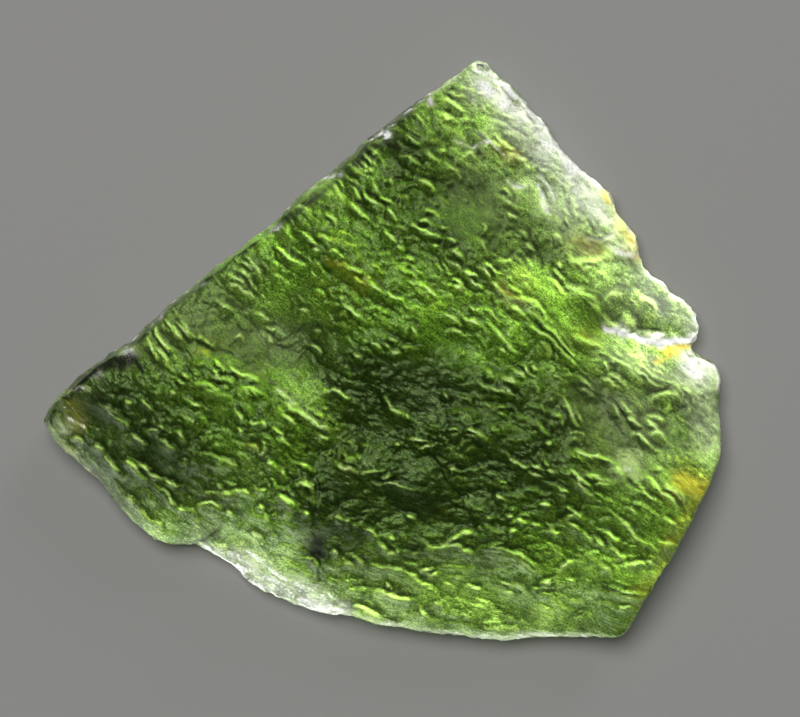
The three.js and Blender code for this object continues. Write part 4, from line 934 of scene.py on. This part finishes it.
def point_values(mesh, name):
    """The place or the normal of each point, a row for each."""
    values = np.empty(len(mesh.vertices) * 3)
    mesh.vertices.foreach_get(name, values)
    return values.reshape(-1, 3)


def set_mask(mesh, name, values):
    """Keeps a value for each point under a name that the material reads."""
    layer = mesh.attributes.new(name, "FLOAT", "POINT")
    layer.data.foreach_set("value", values.astype(np.float32))


def settled(mesh, heights, up):
    """Heights of the upper face with its ridges worn down."""
    ends = np.empty(len(mesh.edges) * 2, dtype=int)
    mesh.edges.foreach_get("vertices", ends)
    first, second = ends[0::2], ends[1::2]
    count = np.bincount(ends, minlength=len(heights))
    share = np.clip((up - WEAR_FROM) / WEAR_OVER, 0, 1)
    for _ in range(WEAR_ROUNDS):
        total = np.bincount(first, heights[second], len(heights))
        total = total + np.bincount(second, heights[first], len(heights))
        heights = heights + share * (total / count - heights)
    return heights


class Skin:
    """The points of the stone's surface, in millimetres, and the marks that the glass reads from them."""

    def __init__(self, mesh):
        self.mesh = mesh
        self.places = point_values(mesh, "co") / MM
        self.normals = point_values(mesh, "normal")
        self.x, self.y = self.places[:, 0].copy(), self.places[:, 1].copy()
        self.along, self.across = flow_places(self.x, self.y)
        self.up = np.clip(self.normals[:, 2], 0, 1)
        self.wall = np.clip(1 - np.abs(self.normals[:, 2]) / WALL_SLOPE, 0, 1)
        jag_x, jag_y = np.zeros_like(self.x), np.zeros_like(self.x)
        for amount, size, seed_x, seed_y in JAGS:
            jag_x += amount * lattice_noise(self.x / size, self.y / size, seed_x)
            jag_y += amount * lattice_noise(self.x / size, self.y / size, seed_y)
        self.index = PlaceIndex(self.x + jag_x, self.y + jag_y, SQUARE)

    def etch_upper_face(self, rng):
        """Wears the ridges down, raises scales and crests, and sets their painted light, shade and edge
        highlights.
        """
        index = self.index
        self.places[:, 2] = settled(self.mesh, self.places[:, 2], self.up)
        relief = scaled(index, rng, *BROAD_SCALES)
        relief += scaled(index, rng, *SMALL_SCALES)
        for rise, along, across, seed in SKIN_GRAINS:
            relief += rise * lattice_noise(self.along / along, self.across / across, seed)
        relief *= calm(self.x, self.y)
        scales = np.clip((relief - relief.mean()) / relief.std(), -LARGEST_SCALE, LARGEST_SCALE)
        crests, painted_light_and_shade, crest_highlight = np.zeros_like(self.x), np.zeros_like(self.x), np.zeros_like(self.x)
        raise_crests(index, stray_lines(rng, *SHORT_STRAYS), SHORT_STRAY_SHAPE, crests, painted_light_and_shade, crest_highlight)
        raise_crests(index, stray_lines(rng, *LONG_STRAYS), LONG_STRAY_SHAPE, crests, painted_light_and_shade, crest_highlight)
        raise_crests(index, traced(THIN_CRESTS), THIN_SHAPE, crests, painted_light_and_shade, crest_highlight)
        raise_crests(index, traced(LUMP_CRESTS), LUMP_SHAPE, crests, painted_light_and_shade, crest_highlight)
        seams = seamed(index)
        relief += crests + seams
        self.places[:, 2] += (relief - RELIEF_DEPTH) * self.up
        # Painted light and shade of the crests, seams and scales
        self.painted_light_and_shade = (painted_light_and_shade + SEAM_PAINTED_SHADE * seams + SCALE_PAINTED_LIGHT_AND_SHADE * scales) * (1 - self.wall)
        # Painted highlights along the edges of the strong crests
        sharp = np.clip((crest_highlight - EDGE_FROM) / EDGE_OVER, 0, 1)
        self.crest_highlight = EDGE_LIMIT * sharp * self.up * (1 - self.wall)

    def etch_underside(self, rng):
        """Cuts hollows, shaped like the scales, into the underside and leaves the worn feet flat."""
        under = np.clip(-self.normals[:, 2], 0, 1)
        below = scaled(self.index, rng, *UNDER_SCALES)
        self.places[:, 2] += below * under * (self.places[:, 2] > FOOT_HEIGHT)

    def chip_walls(self):
        """Roughens the side walls, mostly inwards, with small chips that lean as they go up."""
        z = self.places[:, 2]
        chips = np.zeros_like(self.x)
        for rise, size, lean_x, lean_y, seed in WALL_CHIPS:
            level = lattice_noise((self.x + lean_x * z) / size, (self.y + lean_y * z) / size, seed)
            chips += rise * (level - CHIP_LEVEL)
        self.places[:, :2] += self.normals[:, :2] * (self.wall * chips)[:, None]

    def write_places(self):
        """Moves the mesh's points, which stay inside the box of the solid."""
        self.places = np.clip(self.places, np.array(CAD_LOW) / MM, np.array(CAD_HIGH) / MM)
        self.mesh.vertices.foreach_set("co", (self.places * MM).reshape(-1))
        self.mesh.update()

    def write_marks(self):
        """Writes what the glass reads: flow places, painted light, shade and highlights, and each kind of
        mark.
        """
        z = self.places[:, 2]
        flow = self.mesh.attributes.new("flow", "FLOAT_VECTOR", "POINT")
        along_flow = np.stack([self.along, self.across, z], axis=1).astype(np.float32)
        flow.data.foreach_set("vector", along_flow.ravel())
        # Painted light and shade of the crests, seams and scales
        set_mask(self.mesh, "painted_light_and_shade", self.painted_light_and_shade)
        # Painted highlights along crest edges
        set_mask(self.mesh, "crest_highlight", self.crest_highlight)
        # Painted light and shade over broad places
        set_mask(self.mesh, "shade", shaded(self.x, self.y))
        below_rim = self.index.tops(z) - z
        kept = 1 - self.wall * (1 - np.exp(-(below_rim / RIM_REACH) ** 2))
        along, across, seed = WANDER
        wander = lattice_noise(self.along / along, self.across / across, seed)
        # Frost with painted light, haze with painted sheen, ochre stains and painted dark shade
        for name, marks in MARKS.items():
            set_mask(self.mesh, name, marked(self.index, marks, wander) * kept)


def marked(index, marks, wander):
    """How strongly each point is marked."""
    mask = np.zeros_like(index.x)
    for strength, half_width, pixels in marks:
        width = half_width * PIXEL / MM
        near, aside, _ = beside(index, on_stone(pixels), MARK_REACH * width)
        spread = width * (1 + WANDER_AMOUNT * wander[near])
        mask[near] = np.maximum(mask[near], strength * np.exp(-(aside / spread) ** 2))
    return mask


def make_stone():
    """The stone: the form of the solid, cut finer and etched."""
    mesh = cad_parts["moldavite"].data.copy()
    stone = bpy.data.objects.new("moldavite_glass_body", mesh)
    bpy.context.scene.collection.objects.link(stone)
    refine(stone)
    rng = random.Random(SEED)
    skin = Skin(mesh)
    skin.etch_upper_face(rng)
    skin.etch_underside(rng)
    skin.chip_walls()
    skin.write_places()
    skin.write_marks()
    deselect_all()
    stone.select_set(True)
    bpy.context.view_layer.objects.active = stone
    bpy.ops.object.shade_smooth()
    mesh.materials.clear()
    mesh.materials.append(glass_material())
    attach(stone, "root")
    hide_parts("moldavite")


def attribute(tree, name, output="Fac"):
    """Reads what was kept for each point."""
    node = tree.nodes.new("ShaderNodeAttribute")
    node.attribute_name = name
    return node.outputs[output]


def pattern_on(tree, flow, detail, waves):
    """Noise that follows the flow of the glass."""
    move = tree.nodes.new("ShaderNodeMapping")
    move.inputs["Scale"].default_value = waves
    tree.links.new(flow, move.inputs["Vector"])
    node = tree.nodes.new("ShaderNodeTexNoise")
    node.inputs["Scale"].default_value = 1.0
    node.inputs["Detail"].default_value = detail
    tree.links.new(move.outputs["Vector"], node.inputs["Vector"])
    return node.outputs["Fac"]


def tint(tree, colour, mask, other, pattern):
    """Mixes in another colour where the mask says, broken up by a pattern."""
    break_up = map_range(tree, pattern, TINT_PATTERN)
    share = math_node(tree, "MULTIPLY", attribute(tree, mask), break_up)
    node = tree.nodes.new("ShaderNodeMix")
    node.data_type = "RGBA"
    tree.links.new(share, node.inputs["Factor"])
    join(tree, colour, node.inputs[MIX_FIRST])
    join(tree, other, node.inputs[MIX_SECOND])
    return node.outputs[MIX_RESULT]


def bump(tree, height, distance, normal=None):
    """Fine bumps, on top of others if a normal is given."""
    node = tree.nodes.new("ShaderNodeBump")
    node.inputs["Distance"].default_value = distance
    node.inputs["Strength"].default_value = 1.0
    tree.links.new(height, node.inputs["Height"])
    join(tree, normal, node.inputs["Normal"])
    return node.outputs["Normal"]


def whiteness_of(tree, flow, grain, fibres):
    """How far bruises, haze and the painted rim light, sheen, crest highlights and sparkle cloud the glass.
    """
    # Bruises and crumbs, and painted light on the bright rims
    frost_and_painted_light = math_node(tree, "ADD", attribute(tree, "frost_and_painted_light"), map_range(tree, grain, FROST_AND_PAINTED_LIGHT_GRAIN))
    patches = map_range(tree, pattern_on(tree, flow, *PATCHES), FROST_AND_PAINTED_LIGHT_PATCHES)
    frost_and_painted_light = map_range(tree, math_node(tree, "ADD", frost_and_painted_light, patches), FROST_AND_PAINTED_LIGHT)
    # Haze of the skin, partly painted sheen
    haze_and_sheen = math_node(tree, "MULTIPLY", attribute(tree, "haze_and_sheen"), map_range(tree, grain, HAZE_AND_SHEEN_GRAIN))
    haze_and_sheen = math_node(tree, "MULTIPLY", haze_and_sheen, map_range(tree, fibres, HAZE_AND_SHEEN_FIBRES))
    # Painted highlights along crest edges, which whiten the glass
    crest_highlight = map_range(tree, attribute(tree, "crest_highlight"), CREST_HIGHLIGHT_SPREAD)
    shine = math_node(tree, "MULTIPLY", crest_highlight, map_range(tree, grain, CREST_HIGHLIGHT_GRAIN))
    # Painted sparkle: tiny white specks
    painted_sparkle = map_range(tree, pattern_on(tree, flow, *SPARKLE_PATTERN), SPARKLE_SPREAD)
    whiteness = frost_and_painted_light
    for other in (haze_and_sheen, shine, painted_sparkle):
        whiteness = math_node(tree, "MAXIMUM", whiteness, other)
    return whiteness


def lit_colour(tree, grain, fibres):
    """Colour of the clear glass: painted light and shade on crests and broad places, and grain."""
    # Painted light and shade of the crests, seams and scales, broken up by fibres and grain
    painted_light_and_shade = attribute(tree, "painted_light_and_shade")
    level = math_node(tree, "MULTIPLY", painted_light_and_shade, map_range(tree, fibres, PAINTED_LIGHT_AND_SHADE_FIBRES))
    level = math_node(tree, "ADD", level, map_range(tree, grain, LEVEL_GRAIN))
    level = math_node(tree, "ADD", level, map_range(tree, fibres, LEVEL_FIBRES))
    ramp = tree.nodes.new("ShaderNodeValToRGB")
    stops = ramp.color_ramp.elements
    for place, colour in GLASS_RAMP[1:-1]:
        stops.new(place).color = colour
    stops[0].color = GLASS_RAMP[0][1]
    stops[-1].color = GLASS_RAMP[-1][1]
    tree.links.new(map_range(tree, level, RAMP_LEVEL), ramp.inputs["Fac"])
    # Painted light and shade over broad places, which the crests' painted light outshines
    gain = map_range(tree, attribute(tree, "shade"), SHADE_GAIN)
    gain = math_node(tree, "MAXIMUM", gain, map_range(tree, painted_light_and_shade, CREST_GAIN))
    scale = tree.nodes.new("ShaderNodeVectorMath")
    scale.operation = "SCALE"
    tree.links.new(ramp.outputs["Color"], scale.inputs[0])
    tree.links.new(gain, scale.inputs["Scale"])
    return scale.outputs["Vector"]


def glass_material():
    """Green glass, clear but for its bruises, haze, painted light and painted shade, with a satin skin."""
    material = bpy.data.materials.new("moldavite_glass")
    material.use_nodes = True
    tree = material.node_tree
    shader = tree.nodes["Principled BSDF"]
    shader.inputs["IOR"].default_value = IOR
    shader.inputs["Specular Tint"].default_value = GLOSS_TINT
    flow = attribute(tree, "flow", "Vector")
    streaks = pattern_on(tree, flow, *STREAKS)
    grain = pattern_on(tree, flow, *GRAIN)
    fibres = pattern_on(tree, flow, *FIBRES)
    normal = bump(tree, streaks, STREAK_DEPTH)
    tree.links.new(bump(tree, grain, GRAIN_DEPTH, normal), shader.inputs["Normal"])
    whiteness = whiteness_of(tree, flow, grain, fibres)
    tree.links.new(map_range(tree, whiteness, SATIN), shader.inputs["Roughness"])
    # Painted dark shade, which also makes the glass opaque
    dark_shade_cover = map_range(tree, attribute(tree, "dark_painted_shade"), DARK_SHADE_SPREAD)
    opaque_share = math_node(tree, "MAXIMUM", whiteness, dark_shade_cover)
    tree.links.new(math_node(tree, "SUBTRACT", 1.0, opaque_share), shader.inputs["Transmission Weight"])
    colour = lit_colour(tree, grain, fibres)
    # Painted highlights along crest edges, pale green
    colour = tint(tree, colour, "crest_highlight", CREST_HIGHLIGHT_COLOUR, grain)
    # Haze of the skin, partly painted sheen
    colour = tint(tree, colour, "haze_and_sheen", WHITE, grain)
    # Bruises and crumbs, and painted light on the bright rims
    colour = tint(tree, colour, "frost_and_painted_light", WHITE, grain)
    colour = tint(tree, colour, "ochre", OCHRE_COLOUR, streaks)
    # Painted dark shade, nearly black
    colour = tint(tree, colour, "dark_painted_shade", DARK_PAINTED_SHADE_COLOUR, grain)
    tree.links.new(colour, shader.inputs["Base Color"])
    absorb = tree.nodes.new("ShaderNodeVolumeAbsorption")
    absorb.inputs["Color"].default_value = ABSORBED
    absorb.inputs["Density"].default_value = DENSITY
    tree.links.new(absorb.outputs["Volume"], tree.nodes["Material Output"].inputs["Volume"])
    return material


def set_rendering():
    """Enough bounces to pass through the stone, plain colours and a picture without speckle."""
    scene = bpy.context.scene
    scene.view_settings.view_transform = "Standard"
    scene.cycles.max_bounces = BOUNCES
    scene.cycles.transmission_bounces = GLASS_BOUNCES
    scene.cycles.transparent_max_bounces = GLASS_BOUNCES
    scene.cycles.use_denoising = True


make_camera()
make_floor()
make_lights()
make_surroundings()
make_stone()
set_rendering()
